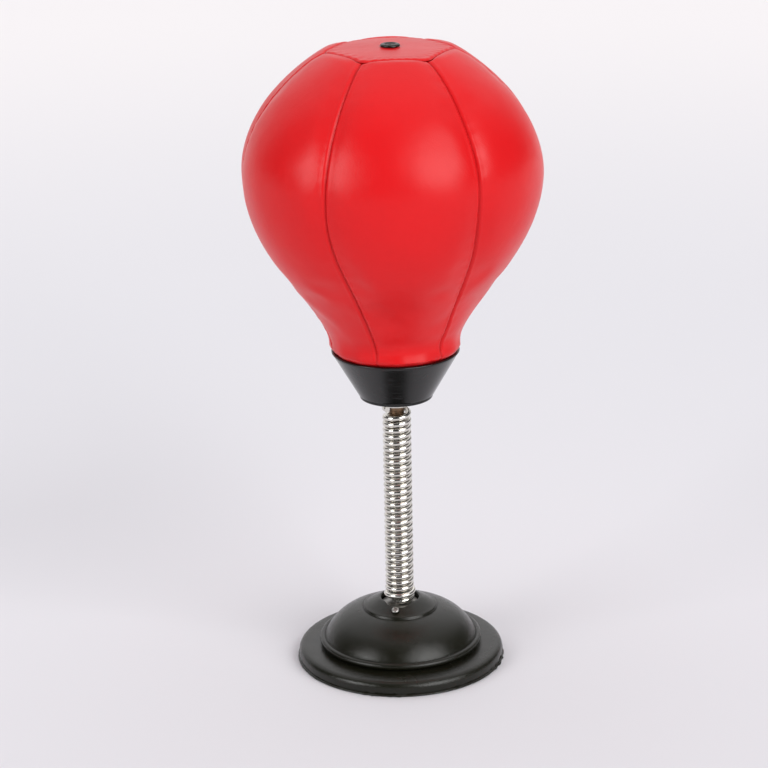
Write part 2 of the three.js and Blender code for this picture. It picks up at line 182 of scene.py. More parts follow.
class StageSettings(bpy.types.PropertyGroup):
    """The floor, the lights and the camera"""

    floor_size: length("Floor size", "Side of the floor", 16)
    floor: colour("Floor", "Colour of the floor round the object", (0.745, 0.735, 0.765))
    # Painted light: the floor is painted lighter towards this colour far from the object, like a lit
    # backdrop.
    painted_light_far_floor: colour("Far floor", "Colour of the floor far from the object", (0.86, 0.83, 0.835))
    camera_distance: length("Camera distance", "How far in front of the object the camera is", 1.3418)
    camera_height: length("Camera height", "Height of the camera", 0.6138)
    camera_pitch: number("Camera pitch", "How far it looks down, in degrees", 18.45)
    camera_yaw: number("Camera yaw", "How far it turns to the right, in degrees", -0.292)
    camera_roll: number("Camera roll", "How far it leans, in degrees", -1.132)
    lens: number("Lens", "Focal length in millimetres", 117.5, min=1)


def settings_group(group, name, description):
    return PointerProperty(type=group, name=name, description=description)


class PunchingBagSettings(bpy.types.PropertyGroup):
    """All the settings of the punching bag"""

    base: settings_group(BaseSettings, "Base", "Sizes and colours of the base")
    spring: settings_group(SpringSettings, "Spring", "Sizes and colours of the spring")
    cup: settings_group(CupSettings, "Cup", "Sizes and colours of the bag cup")
    bag: settings_group(BagSettings, "Bag", "Sizes and colours of the leather bag")
    stage: settings_group(StageSettings, "Stage", "The floor, the lights and the camera")


# ----------------------------------------------------------------------------
# Modelling tools


def deselect_all():
    if bpy.context.object and bpy.context.object.mode != "OBJECT":
        bpy.ops.object.mode_set(mode="OBJECT")
    bpy.ops.object.select_all(action="DESELECT")


def make_active(piece):
    deselect_all()
    piece.select_set(True)
    bpy.context.view_layer.objects.active = piece


def add_modifier(piece, kind, **settings):
    """Adds a modifier and applies it at once."""
    make_active(piece)
    bpy.ops.object.modifier_add(type=kind)
    modifier = piece.modifiers[-1]
    for name, value in settings.items():
        setattr(modifier, name, value)
    bpy.ops.object.modifier_apply(modifier=modifier.name)


def smooth(piece, angle=35):
    make_active(piece)
    bpy.ops.object.shade_smooth_by_angle(angle=math.radians(angle))


def turned_piece(name, outline, sides=ROUND_SIDES):
    """Draws an outline of (radius, height) points beside the axis and spins it into a round piece."""
    deselect_all()
    bpy.ops.mesh.primitive_plane_add(size=MM)
    piece = bpy.context.object
    piece.name = name
    piece.data.name = name
    bpy.ops.object.mode_set(mode="EDIT")
    bpy.ops.mesh.select_mode(type="VERT")
    bpy.ops.mesh.merge(type="CENTER")
    bpy.ops.transform.translate(value=(outline[0][0], 0, outline[0][1]))
    for (radius, height), (next_radius, next_height) in zip(outline, outline[1:]):
        step = (next_radius - radius, 0, next_height - height)
        bpy.ops.mesh.extrude_region_move(TRANSFORM_OT_translate={"value": step})
    bpy.ops.mesh.select_all(action="SELECT")
    bpy.ops.mesh.spin(steps=sides, angle=2 * math.pi, center=(0, 0, 0), axis=(0, 0, 1))
    bpy.ops.mesh.select_all(action="SELECT")
    bpy.ops.mesh.remove_doubles(threshold=0.01 * MM)
    bpy.ops.mesh.normals_make_consistent(inside=False)
    bpy.ops.object.mode_set(mode="OBJECT")
    return piece


def arc(centre, radius, start, end, steps=6):
    """Points on an arc, between two angles in degrees counted from the outward direction upwards."""
    points = []
    for i in range(steps + 1):
        angle = math.radians(start + (end - start) * i / steps)
        points.append((centre[0] + radius * math.cos(angle), centre[1] + radius * math.sin(angle)))
    return points


def bezier(*handles, steps=12):
    """Points on a curve with any number of handles."""
    points = []
    for i in range(steps + 1):
        level = [Vector(handle) for handle in handles]
        while len(level) > 1:
            level = [a.lerp(b, i / steps) for a, b in zip(level, level[1:])]
        points.append(tuple(level[0]))
    return points


def rounded_edge(radius, foot, top, bevel):
    """The outer edge of a disc's outline, rounded below and above."""
    low = arc((radius - bevel, foot + bevel), bevel, -90, 0, 3)
    return low + arc((radius - bevel, top - bevel), bevel, 0, 90, 3)


def core_radius(spring):
    """Radius of a plug's core, which stands inside the coils."""
    return spring.radius - 2 * spring.wire_radius - CORE_GAP


def finish_piece(piece, body, slot, material, *nodes):
    """Gives a piece its material and body, and hides the CAD nodes that it stands for. The slot is not used.
    """
    piece.data.materials.clear()
    piece.data.materials.append(material)
    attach(piece, body)
    if nodes:
        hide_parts(*nodes)


def finish_node(node, material):
    """Gives a CAD node that stays in view a procedural material."""
    for material_slot in frame["nodes"][node].material_slots:
        material_slot.material = material


# ----------------------------------------------------------------------------
# Materials


class NodeTree:
    """Adds nodes to a tree. An input is a value or a socket to link from."""

    def __init__(self, tree):
        self.tree = tree

    def add(self, kind, inputs=None, **settings):
        node = self.tree.nodes.new(kind)
        for name, value in settings.items():
            setattr(node, name, value)
        self.link(node, inputs or {})
        return node

    def link(self, node, inputs):
        """Links or sets a node's inputs."""
        for name, value in inputs.items():
            if isinstance(value, bpy.types.NodeSocket):
                self.tree.links.new(value, node.inputs[name])
            else:
                node.inputs[name].default_value = value

    def maths(self, operation, a, b=0.0, clamp=False):
        return self.add("ShaderNodeMath", {0: a, 1: b}, operation=operation, use_clamp=clamp).outputs[0]

    def mix(self, factor, a, b):
        """Mixes two colours."""
        node = self.add("ShaderNodeMix", {0: factor, 6: a, 7: b}, data_type="RGBA")
        return node.outputs[2]

    def remap(self, value, low, high, to_low, to_high):
        inputs = {"Value": value, "From Min": low, "From Max": high, "To Min": to_low, "To Max": to_high}
        return self.add("ShaderNodeMapRange", inputs).outputs[0]

    def fade(self, value, low, high):
        """Goes gently from 0 to 1 between low and high."""
        inputs = {"Value": value, "From Min": low, "From Max": high}
        return self.add("ShaderNodeMapRange", inputs, interpolation_type="SMOOTHSTEP").outputs[0]

    def sum(self, *terms):
        """Adds up pairs of a value and its weight."""
        total = None
        for value, weight in terms:
            term = value if weight == 1 else self.maths("MULTIPLY", value, weight)
            total = term if total is None else self.maths("ADD", total, term)
        return total

    def group(self, tree, inputs):
        node = self.tree.nodes.new("ShaderNodeGroup")
        node.node_tree = tree
        self.link(node, inputs)
        return node.outputs


def new_group(name, inputs, outputs):
    """An empty shader node group, with its node helper and its two end nodes."""
    tree = bpy.data.node_groups.new(name, "ShaderNodeTree")
    for socket, kind, default in inputs:
        made = tree.interface.new_socket(name=socket, in_out="INPUT", socket_type=kind)
        if default is not None:
            made.default_value = default
    for socket, kind in outputs:
        tree.interface.new_socket(name=socket, in_out="OUTPUT", socket_type=kind)
    helper = NodeTree(tree)
    return tree, helper, helper.add("NodeGroupInput").outputs, helper.add("NodeGroupOutput").inputs


def shared_group(name, build):
    return bpy.data.node_groups.get(name) or build(name)


def build_mottle(name):
    """Cloudy patches of a given size."""
    sockets = [
        ("Vector", "NodeSocketVector", None),
        ("Size", "NodeSocketFloat", 0.02),
        ("Sharpness", "NodeSocketFloat", 0.3),
    ]
    tree, nodes, given, result = new_group(name, sockets, [("Value", "NodeSocketFloat")])
    scale = nodes.maths("DIVIDE", 1.0, given["Size"])
    cloud = nodes.add("ShaderNodeTexNoise", {"Vector": given["Vector"], "Scale": scale, "Detail": 5.0})
    low = nodes.maths("MULTIPLY", given["Sharpness"], 0.5)
    high = nodes.maths("SUBTRACT", 1.0, low)
    patches = nodes.remap(cloud.outputs[0], low, high, 0.0, 1.0)
    tree.links.new(patches, result["Value"])
    return tree


def build_grain(name):
    """Fine pebbled grain, as a height."""
    sockets = [("Vector", "NodeSocketVector", None), ("Size", "NodeSocketFloat", 0.001)]
    tree, nodes, given, result = new_group(name, sockets, [("Height", "NodeSocketFloat")])
    scale = nodes.maths("DIVIDE", 1.0, given["Size"])
    bend = nodes.add("ShaderNodeTexNoise", {"Vector": given["Vector"], "Scale": scale, "Detail": 2.0})
    shift = nodes.add("ShaderNodeVectorMath", {0: bend.outputs["Color"], "Scale": 0.0006}, operation="SCALE")
    bent = nodes.add("ShaderNodeVectorMath", {0: given["Vector"], 1: shift.outputs[0]}, operation="ADD")
    cells = nodes.add(
        "ShaderNodeTexVoronoi",
        {"Vector": bent.outputs[0], "Scale": scale},
        feature="DISTANCE_TO_EDGE",
    )
    pebble = nodes.remap(cells.outputs["Distance"], 0.0, 0.28, 0.0, 1.0)
    height = nodes.sum((pebble, 0.7), (bend.outputs[0], 0.5))
    tree.links.new(height, result["Height"])
    return tree


def build_scratches(name):
    """Thin scratches that run in no one direction, as a mask."""
    sockets = [("Vector", "NodeSocketVector", None), ("Size", "NodeSocketFloat", 0.01)]
    tree, nodes, given, result = new_group(name, sockets, [("Mask", "NodeSocketFloat")])
    scale = nodes.maths("DIVIDE", 1.0, given["Size"])
    masks = []
    for turn in ((0.4, 0.2, 0.9), (1.3, 2.1, 0.3)):
        stretch = {"Vector": given["Vector"], "Rotation": turn, "Scale": (1, 14, 1)}
        turned = nodes.add("ShaderNodeMapping", stretch)
        line = nodes.add("ShaderNodeTexNoise", {"Vector": turned.outputs[0], "Scale": scale, "Detail": 3.0})
        masks.append(nodes.remap(line.outputs[0], 0.60, 0.68, 0.0, 1.0))
    tree.links.new(nodes.maths("MAXIMUM", *masks), result["Mask"])
    return tree


def build_dust(name):
    """Dust that has settled on what faces up, as a mask."""
    sockets = [("Vector", "NodeSocketVector", None), ("Amount", "NodeSocketFloat", 0.3)]
    tree, nodes, given, result = new_group(name, sockets, [("Mask", "NodeSocketFloat")])
    facing = nodes.add("ShaderNodeSeparateXYZ", {0: nodes.add("ShaderNodeNewGeometry").outputs["Normal"]})
    up = nodes.remap(facing.outputs["Z"], 0.1, 0.95, 0.0, 1.0)
    cloud = nodes.add("ShaderNodeTexNoise", {"Vector": given["Vector"], "Scale": 90.0, "Detail": 8.0})
    patchy = nodes.remap(cloud.outputs[0], 0.35, 0.75, 0.15, 1.0)
    mask = nodes.maths("MULTIPLY", nodes.maths("MULTIPLY", up, patchy), given["Amount"], clamp=True)
    tree.links.new(mask, result["Mask"])
    return tree


def mottle(nodes, place, size, sharpness):
    tree = shared_group("Cloudy Mottle", build_mottle)
    return nodes.group(tree, {"Vector": place, "Size": size, "Sharpness": sharpness})["Value"]


def grain(nodes, place, size):
    tree = shared_group("Pebbled Grain", build_grain)
    return nodes.group(tree, {"Vector": place, "Size": size})["Height"]


def scratches(nodes, place, size):
    tree = shared_group("Thin Scratches", build_scratches)
    return nodes.group(tree, {"Vector": place, "Size": size})["Mask"]


def dust(nodes, place, amount):
    tree = shared_group("Settled Dust", build_dust)
    return nodes.group(tree, {"Vector": place, "Amount": amount})["Mask"]


def start_material(name):
    """A new material with its node helper, its Object coordinates and its surface shader."""
    material = bpy.data.materials.new(name)
    material.use_nodes = True
    tree = material.node_tree
    shader = next(node for node in tree.nodes if node.type == "BSDF_PRINCIPLED")
    nodes = NodeTree(tree)
    place = nodes.add("ShaderNodeTexCoord").outputs["Object"]
    return material, nodes, place, shader


def feed(nodes, shader, **sockets):
    """Links or sets the surface shader's sockets, named with _ for a space."""
    nodes.link(shader, {name.replace("_", " "): value for name, value in sockets.items()})


def bump(nodes, height, distance, strength=1.0, normal=None):
    inputs = {"Height": height, "Distance": distance, "Strength": strength}
    if normal is not None:
        inputs["Normal"] = normal
    return nodes.add("ShaderNodeBump", inputs).outputs[0]


def solid(rgb):
    return (*rgb, 1.0)


def rubber_material(settings):
    """Satin moulded rubber with a dull film, fine pits and a little dust."""
    material, nodes, place, shader = start_material("Moulded Rubber")
    patches = mottle(nodes, place, 0.03, 0.5)
    fine = mottle(nodes, place, 0.0035, 0.7)
    settled = dust(nodes, place, 0.15)
    film = nodes.maths("MULTIPLY", patches, nodes.remap(fine, 0.0, 1.0, 0.25, 0.7))
    facing = nodes.add("ShaderNodeSeparateXYZ", {0: nodes.add("ShaderNodeNewGeometry").outputs["Normal"]})
    upward = nodes.remap(facing.outputs["Z"], 0.35, 1.0, 0.15, 1.0)
    amount = nodes.maths("MULTIPLY", film, upward)
    base = nodes.mix(nodes.maths("MULTIPLY", amount, 0.55), solid(settings.rubber), solid(settings.bloom))
    base = nodes.mix(nodes.maths("MULTIPLY", settled, 0.25), base, (0.14, 0.13, 0.11, 1))
    rough = nodes.sum((nodes.remap(patches, 0.0, 1.0, 0.20, 0.28), 1), (settled, 0.2))
    pits = grain(nodes, place, 0.0009)
    waves = mottle(nodes, place, 0.012, 0.1)
    normal = bump(nodes, waves, 0.0005, 0.5)
    normal = bump(nodes, pits, 0.00006, 0.8, normal)
    feed(nodes, shader, Base_Color=base, Roughness=rough, Normal=normal, Specular_IOR_Level=0.36)
    return material


def plastic_material(settings):
    """Glossy moulded plastic with a faint ripple and fine scuffs."""
    material, nodes, place, shader = start_material("Glossy Plastic")
    scuffs = scratches(nodes, place, 0.009)
    patches = mottle(nodes, place, 0.018, 0.3)
    settled = dust(nodes, place, 0.3)
    base = nodes.mix(nodes.maths("MULTIPLY", scuffs, 0.15), solid(settings.plastic), (0.04, 0.04, 0.042, 1))
    base = nodes.mix(nodes.maths("MULTIPLY", settled, 0.3), base, (0.2, 0.19, 0.18, 1))
    rough = nodes.sum((nodes.remap(patches, 0.0, 1.0, 0.13, 0.2), 1), (scuffs, 0.1))
    ripple = mottle(nodes, place, 0.006, 0.0)
    feed(nodes, shader, Base_Color=base, Roughness=rough, Normal=bump(nodes, ripple, 0.00012, 0.25))
    feed(nodes, shader, Specular_IOR_Level=0.44)
    return material


def metal_material(name, rgb, tarnish, rough_low, rough_high, grain_size):
    """Plated or machined metal with fine wear and patches of tarnish."""
    material, nodes, place, shader = start_material(name)
    patches = mottle(nodes, place, 0.006, 0.6)
    lines = scratches(nodes, place, grain_size)
    base = nodes.mix(nodes.maths("MULTIPLY", patches, 0.45), solid(rgb), solid(tarnish))
    rough = nodes.sum((nodes.remap(patches, 0.0, 1.0, rough_low, rough_high), 1), (lines, 0.08))
    normal = bump(nodes, lines, 0.00002, 0.5)
    feed(nodes, shader, Base_Color=base, Metallic=1.0, Roughness=rough, Normal=normal)
    return material


def chrome_material(settings):
    return metal_material("Chrome Plate", settings.chrome, (0.52, 0.48, 0.41), 0.08, 0.16, 0.003)


def steel_material():
    return metal_material("Zinc Plated Steel", (0.40, 0.39, 0.37), (0.20, 0.18, 0.16), 0.28, 0.45, 0.002)


def brass_material():
    return metal_material("Turned Brass", (0.24, 0.155, 0.095), (0.08, 0.05, 0.032), 0.3, 0.5, 0.002)


def bladder_material():
    """Dull rubber with a powdery film."""
    material, nodes, place, shader = start_material("Bladder Rubber")
    patches = mottle(nodes, place, 0.015, 0.4)
    pits = grain(nodes, place, 0.0016)
    base = nodes.mix(patches, (0.045, 0.036, 0.032, 1), (0.075, 0.062, 0.055, 1))
    rough = nodes.remap(patches, 0.0, 1.0, 0.55, 0.75)
    feed(nodes, shader, Base_Color=base, Roughness=rough, Normal=bump(nodes, pits, 0.0001, 0.6))
    return material


def leather_material(settings):
    """Glossy coated leather: pebbled grain and soft creases, with painted shade that darkens the seams and
    the leather at the cup's rim.
    """
    material, nodes, place, shader = start_material("Red Leather")
    seam = nodes.add("ShaderNodeAttribute", attribute_name="seam").outputs["Fac"]
    fold = nodes.add("ShaderNodeAttribute", attribute_name="fold").outputs["Fac"]
    patches = mottle(nodes, place, 0.05, 0.5)
    fine = mottle(nodes, place, 0.004, 0.5)
    pebbles = grain(nodes, place, 0.0011)
    creases = scratches(nodes, place, 0.02)
    # Random tone from the patches, plus painted shade: the seam and fold masks darken the leather in its
    # seams and at the cup's rim.
    depth = nodes.sum((patches, 0.16), (fine, 0.06), (seam, 0.3))
    depth = nodes.maths("ADD", depth, nodes.maths("MULTIPLY", fold, 0.3), clamp=True)
    base = nodes.mix(depth, solid(settings.leather), solid(settings.painted_shade))
    rough = nodes.sum((nodes.remap(patches, 0.0, 1.0, 0.27, 0.33), 1), (fine, 0.03))
    soft = mottle(nodes, place, 0.022, 0.0)
    normal = bump(nodes, soft, 0.0008, 0.35)
    normal = bump(nodes, creases, 0.00004, 0.35, normal)
    normal = bump(nodes, pebbles, 0.00005, 0.55, normal)
    feed(nodes, shader, Base_Color=base, Roughness=rough, Normal=normal)
    feed(nodes, shader, Specular_IOR_Level=0.23)
    return material


def floor_material(settings):
    """A pale matt sweep with the faintest unevenness, and painted light: it is painted lighter far from the
    object.
    """
    material, nodes, place, shader = start_material("Pale Sweep")
    patches = mottle(nodes, place, 0.7, 0.2)
    tint = tuple(0.975 * part for part in settings.floor)
    base = nodes.mix(patches, solid(settings.floor), solid(tint))
    # Painted light: the colour goes over to a lighter one between 0.6 m and 2.2 m from the middle.
    across = nodes.add("ShaderNodeVectorMath", {0: place}, operation="LENGTH").outputs["Value"]
    base = nodes.mix(nodes.fade(across, 0.6, 2.2), base, solid(settings.painted_light_far_floor))
    feed(nodes, shader, Base_Color=base, Roughness=0.85, Specular_IOR_Level=0.2)
    return material


def ready_material(name, build, *settings):
    return bpy.data.materials.get(name) or build(*settings)


def rubber(settings):
    return ready_material("Moulded Rubber", rubber_material, settings)


def plastic(settings):
    return ready_material("Glossy Plastic", plastic_material, settings)


def steel():
    return ready_material("Zinc Plated Steel", steel_material)


# ----------------------------------------------------------------------------
# Base


class PUNCHINGBAG_OT_suction_cup(bpy.types.Operator):
    """Model the rubber suction cup with its moulded edge and its hollow underside"""

    bl_idname = "punchingbag.suction_cup"
    bl_label = "Suction Cup"

    def execute(self, context):
        base = context.scene.punching_bag.base
        edge = 3.8 * MM  # how round the upper edge is
        step = 0.8 * MM  # how far the lowest edge stands out
        side = base.flange_radius - step
        lip_inner = base.flange_radius - 1.1 * MM - base.lip_width
        boss, boss_top, bolt_seat = 18 * MM, 16 * MM, 9 * MM
        outline = bezier((0, base.hollow_height), (0.66 * lip_inner, base.hollow_height), (lip_inner, 0))
        outline += [(base.flange_radius - 1.6 * MM, 0)]
        outline += arc((base.flange_radius - 0.5 * MM, 0.75 * MM), 0.5 * MM, -80, 80, 6)
        outline += [(side - 0.1 * MM, 1.45 * MM), (side, 1.8 * MM), (side + 0.1 * MM, 3.6 * MM)]
        outline += arc((side - edge, base.flange_edge - edge), edge, 0, 80, 10)
        outline += bezier(
            (side - edge - 1.2 * MM, base.flange_edge + 0.1 * MM),
            (side - 7 * MM, base.flange_edge + 0.25 * MM),
            (base.dome_radius + 3.5 * MM, base.flange_crown - 0.35 * MM),
            (base.dome_radius + 1.5 * MM, base.flange_crown - 0.3 * MM),
            (base.dome_radius - 5 * MM, base.flange_crown),
            steps=16,
        )
        outline += [(boss + 1 * MM, base.flange_crown), (boss, boss_top), (BOLT_BORE, boss_top)]
        outline += [(BOLT_BORE, bolt_seat), (0, bolt_seat)]
        cup = turned_piece("rubber_suction_cup", outline, 2 * ROUND_SIDES)
        self.add_flash(cup, base)
        smooth(cup, 40)
        finish_piece(cup, "base", "base_rubber", rubber(base), "suction_cup")
        return {"FINISHED"}

    def add_flash(self, cup, base):
        """Roughens the lowest edge, where the mould closed on the rubber."""
        rim = cup.vertex_groups.new(name="rim")
        for vertex in cup.data.vertices:
            radius = math.hypot(vertex.co.x, vertex.co.y)
            if radius < base.flange_radius - 1.2 * MM or not 0.5 * MM < vertex.co.z < 1.9 * MM:
                continue
            ragged = noise.noise(Vector((vertex.co.x, vertex.co.y, 0)) / (24 * MM))
            amount = min(max(0.4 + 1.8 * ragged, 0.15), 1)
            rim.add([vertex.index], amount, "REPLACE")
        cloud = bpy.data.textures.new("mould flash", "CLOUDS")
        cloud.noise_scale = 3.2 * MM
        cloud.noise_depth = 3
        settings = {"texture": cloud, "vertex_group": "rim", "strength": 6 * base.flash, "mid_level": 0.5}
        add_modifier(cup, "DISPLACE", direction="NORMAL", texture_coords="LOCAL", **settings)


class PUNCHINGBAG_OT_base_dome(bpy.types.Operator):
    """Model the domed rubber cap with its bead, its ring step and the spring's seat"""

    bl_idname = "punchingbag.base_dome"
    bl_label = "Base Dome"

    def execute(self, context):
        base = context.scene.punching_bag.base
        foot = foot_of("base_dome")
        top = top_of("base_dome")
        bead = base.bead_radius
        bead_centre = (base.dome_radius - bead, foot + bead + 0.4 * MM)
        ring = Vector((base.ring_radius, foot + base.ring_rise))
        outline = [(BOLT_BORE, top - base.seat_depth - 3 * MM), (base.dome_radius - 12 * MM, foot + 8 * MM)]
        outline += [(bead_centre[0] - 3.2 * MM, foot + 0.7 * MM)]
        outline += arc(bead_centre, bead, -100, 118, 14)
        valley = (bead_centre[0] - 1.15 * MM, bead_centre[1] + 0.9 * bead)
        outline += [(valley[0] + 0.1 * MM, valley[1] - 0.12 * MM), valley]
        neck = (valley[0] - 0.35 * MM, valley[1] + 0.45 * MM)
        shoulder = (37 * MM, foot + 17.2 * MM)  # where the curve of the dome points to
        outline += bezier(neck, shoulder, tuple(ring + Vector((0.9 * MM, -0.5 * MM))), steps=26)
        outline += bezier(
            tuple(ring + Vector((0.45 * MM, -0.55 * MM))),
            tuple(ring + Vector((0.05 * MM, -0.75 * MM))),
            tuple(ring + Vector((0.05 * MM, 0.7 * MM))),
            tuple(ring + Vector((-0.5 * MM, 1.05 * MM))),
            steps=8,
        )
        rim = (base.seat_radius + 1.3 * MM, top - 0.1 * MM)
        outline += bezier(tuple(ring + Vector((-1.3 * MM, 1.2 * MM))), rim, steps=8)
        outline += arc((base.seat_radius + 0.9 * MM, top - 0.9 * MM), 0.9 * MM, 100, 180, 5)
        outline += [(base.seat_radius, top - base.seat_depth), (BOLT_BORE, top - base.seat_depth)]
        outline += [outline[0]]
        dome = turned_piece("rubber_dome", outline)
        self.cut_recess(dome, top)
        smooth(dome, 40)
        finish_piece(dome, "base", "base_rubber", rubber(base), "base_dome")
        return {"FINISHED"}

    def cut_recess(self, dome, top):
        """A shallow recess in front of the spring, open to its seat."""
        deselect_all()
        size = 8 * MM
        middle = (-0.6 * MM, -6.4 * MM, top + 0.6 * MM)  # its foot is 3.4 mm below the dome's top
        bpy.ops.mesh.primitive_cylinder_add(vertices=SMALL_SIDES, radius=size, depth=size, location=middle)
        cutter = bpy.context.object
        add_modifier(cutter, "BEVEL", width=0.6 * MM, segments=2)
        add_modifier(dome, "BOOLEAN", object=cutter, operation="DIFFERENCE", solver="EXACT")
        bpy.data.objects.remove(cutter)


class PUNCHINGBAG_OT_base_fittings(bpy.types.Operator):
    """Model the plug that grips the spring and the small screw in front of it"""

    bl_idname = "punchingbag.base_fittings"
    bl_label = "Base Fittings"

    def execute(self, context):
        settings = context.scene.punching_bag
        self.add_plug(settings.spring)
        self.add_screw()
        return {"FINISHED"}

    def add_plug(self, spring):
        low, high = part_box("lower_spring_plug")
        foot, top, flange = low.z, high.z, high.x
        core = core_radius(spring)
        bevel = 0.35 * MM
        flange_top = foot + spring.plug_flange
        outline = [(BOLT_BORE, foot), (flange - bevel, foot)]
        outline += rounded_edge(flange, foot, flange_top, bevel)
        outline += [(core + bevel, flange_top), (core, flange_top + bevel)]
        outline += [(core, top - bevel), (core - bevel, top), (BOLT_BORE, top), (BOLT_BORE, foot)]
        plug = turned_piece("spring_plug_lower", outline, SMALL_SIDES)
        smooth(plug, 30)
        finish_piece(plug, "base", "steel", steel(), "lower_spring_plug")

    def add_screw(self):
        """A pan head with a cross recess, which leans with the cone that it stands on."""
        head = 2.2 * MM
        crown = 1.3 * MM
        shank, depth = 1.2 * MM, 5 * MM
        outline = [(0, -depth), (shank, -depth), (shank, 0), (head - 0.2 * MM, 0)]
        outline += bezier((head, 0.2 * MM), (head, 0.8 * crown), (0.6 * head, crown), (0, crown), steps=8)
        screw = turned_piece("retaining_screw", outline, 32)
        for angle in (45, 135):
            deselect_all()
            bpy.ops.mesh.primitive_cube_add(size=1, location=(0, 0, crown))
            cutter = bpy.context.object
            bpy.ops.transform.resize(value=(2.5 * MM, 0.5 * MM, 1.3 * MM))
            cutter.rotation_euler.z = math.radians(angle)
            add_modifier(screw, "BOOLEAN", object=cutter, operation="DIFFERENCE", solver="EXACT")
            bpy.data.objects.remove(cutter)
        low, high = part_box("spring_retaining_screw")
        centre = (low + high) / 2
        azimuth = math.atan2(centre.x, -centre.y)
        slope = math.radians(24)
        turn = Matrix.Rotation(azimuth, 4, "Z") @ Matrix.Rotation(slope, 4, "X")
        shift = turn @ Vector((0, 0, (crown - depth) / 2))
        screw.matrix_world = Matrix.Translation(centre - shift) @ turn
        make_active(screw)
        bpy.ops.object.transform_apply(location=True, rotation=True, scale=True)
        smooth(screw, 30)
        finish_piece(screw, "base", "steel", steel(), "spring_retaining_screw")


# ----------------------------------------------------------------------------
# Spring


class PUNCHINGBAG_OT_spring(bpy.types.Operator):
    """Wind the chromed spring and divide it where it bends"""

    bl_idname = "punchingbag.spring"
    bl_label = "Spring"

    def execute(self, context):
        spring = context.scene.punching_bag.spring
        joints = frame["joints"]
        flex_turns = (spring.turns - 2 * spring.grip_turns) / len(joints)
        cuts = [spring.grip_turns + flex_turns * i for i in range(len(joints) + 1)]
        parts = self.divide(self.wind(spring), cuts)
        material = ready_material("Chrome Plate", chrome_material, spring)
        for part in parts:
            part.data.materials.clear()
            part.data.materials.append(material)
        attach(parts[0], "base")
        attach(parts[-1], "bag")
        for part, joint in zip(parts[1:-1], joints):
            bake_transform(part)
        sections = [f"spring_section_{i}" for i in range(1, len(joints))]
        nodes = ["spring_lower_end", *sections, "spring_upper_end", "spring_upper_end"]
        for part, node in zip(parts, nodes):
            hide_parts(node)
        return {"FINISHED"}

    def wind(self, spring):
        """One wire wound on a helix, with a flared second turn and an opened last turn."""
        deselect_all()
        foot = foot_of("lower_spring_plug") + spring.plug_flange + CLEARANCE + spring.wire_radius
        count = round(spring.turns * spring.steps)
        line = bpy.data.curves.new("spring_wire", "CURVE")
        line.dimensions = "3D"
        line.bevel_depth = spring.wire_radius
        line.bevel_resolution = 4
        spline = line.splines.new("POLY")
        spline.points.add(count)
        for i, point in enumerate(spline.points):
            turn = spring.turns * i / count
            azimuth = math.radians(spring.start_azimuth + 360 * turn)
            flare = smoothstep(1 - min(abs(turn - 1), 1)) * spring.flare
            radius = spring.radius - spring.wire_radius + flare
            lift = smoothstep(turn - (spring.turns - 1)) * spring.end_lift
            height = foot + turn * spring.pitch + lift
            point.co = (radius * math.sin(azimuth), -radius * math.cos(azimuth), height, 1)
        wire = bpy.data.objects.new("spring_wire", line)
        bpy.context.scene.collection.objects.link(wire)
        make_active(wire)
        bpy.ops.object.convert(target="MESH")
        wire = bpy.context.object
        sides = len(wire.data.vertices) // (count + 1)
        numbers = wire.data.attributes.new("step", "FLOAT", "FACE")
        steps = [min(min(face.vertices) // sides, count - 1) for face in wire.data.polygons]
        numbers.data.foreach_set("value", [spring.turns * (step + 0.5) / count for step in steps])
        return wire

    def divide(self, wire, cuts):
        """Separates the wire at the cuts, from the top down, and closes the cut ends."""
        parts = []
        for i in range(len(cuts), 0, -1):
            turns = wire.data.attributes["step"].data
            chosen = [entry.value > cuts[i - 1] for entry in turns]
            make_active(wire)
            bpy.ops.object.mode_set(mode="EDIT")
            bpy.ops.mesh.select_mode(type="FACE")
            bpy.ops.mesh.select_all(action="DESELECT")
            bpy.ops.object.mode_set(mode="OBJECT")
            wire.data.polygons.foreach_set("select", chosen)
            bpy.ops.object.mode_set(mode="EDIT")
            bpy.ops.mesh.separate(type="SELECTED")
            bpy.ops.object.mode_set(mode="OBJECT")
            parts.insert(0, next(o for o in bpy.context.selected_objects if o != wire))
        parts.insert(0, wire)
        for i, part in enumerate(parts):
            part.name = f"spring_wire_{i}"
            part.data.name = part.name
            make_active(part)
            bpy.ops.object.mode_set(mode="EDIT")
            bpy.ops.mesh.select_mode(type="EDGE")
            bpy.ops.mesh.select_all(action="DESELECT")
            bpy.ops.mesh.select_non_manifold(extend=False, use_boundary=True)
            bpy.ops.mesh.fill_holes(sides=0)
            bpy.ops.mesh.select_all(action="SELECT")
            bpy.ops.mesh.normals_make_consistent(inside=False)
            bpy.ops.object.mode_set(mode="OBJECT")
            smooth(part, 50)
            part.data.attributes.remove(part.data.attributes["step"])
        return parts


def smoothstep(t):
    t = min(max(t, 0), 1)
    return t * t * (3 - 2 * t)


# ----------------------------------------------------------------------------
# Bag cup


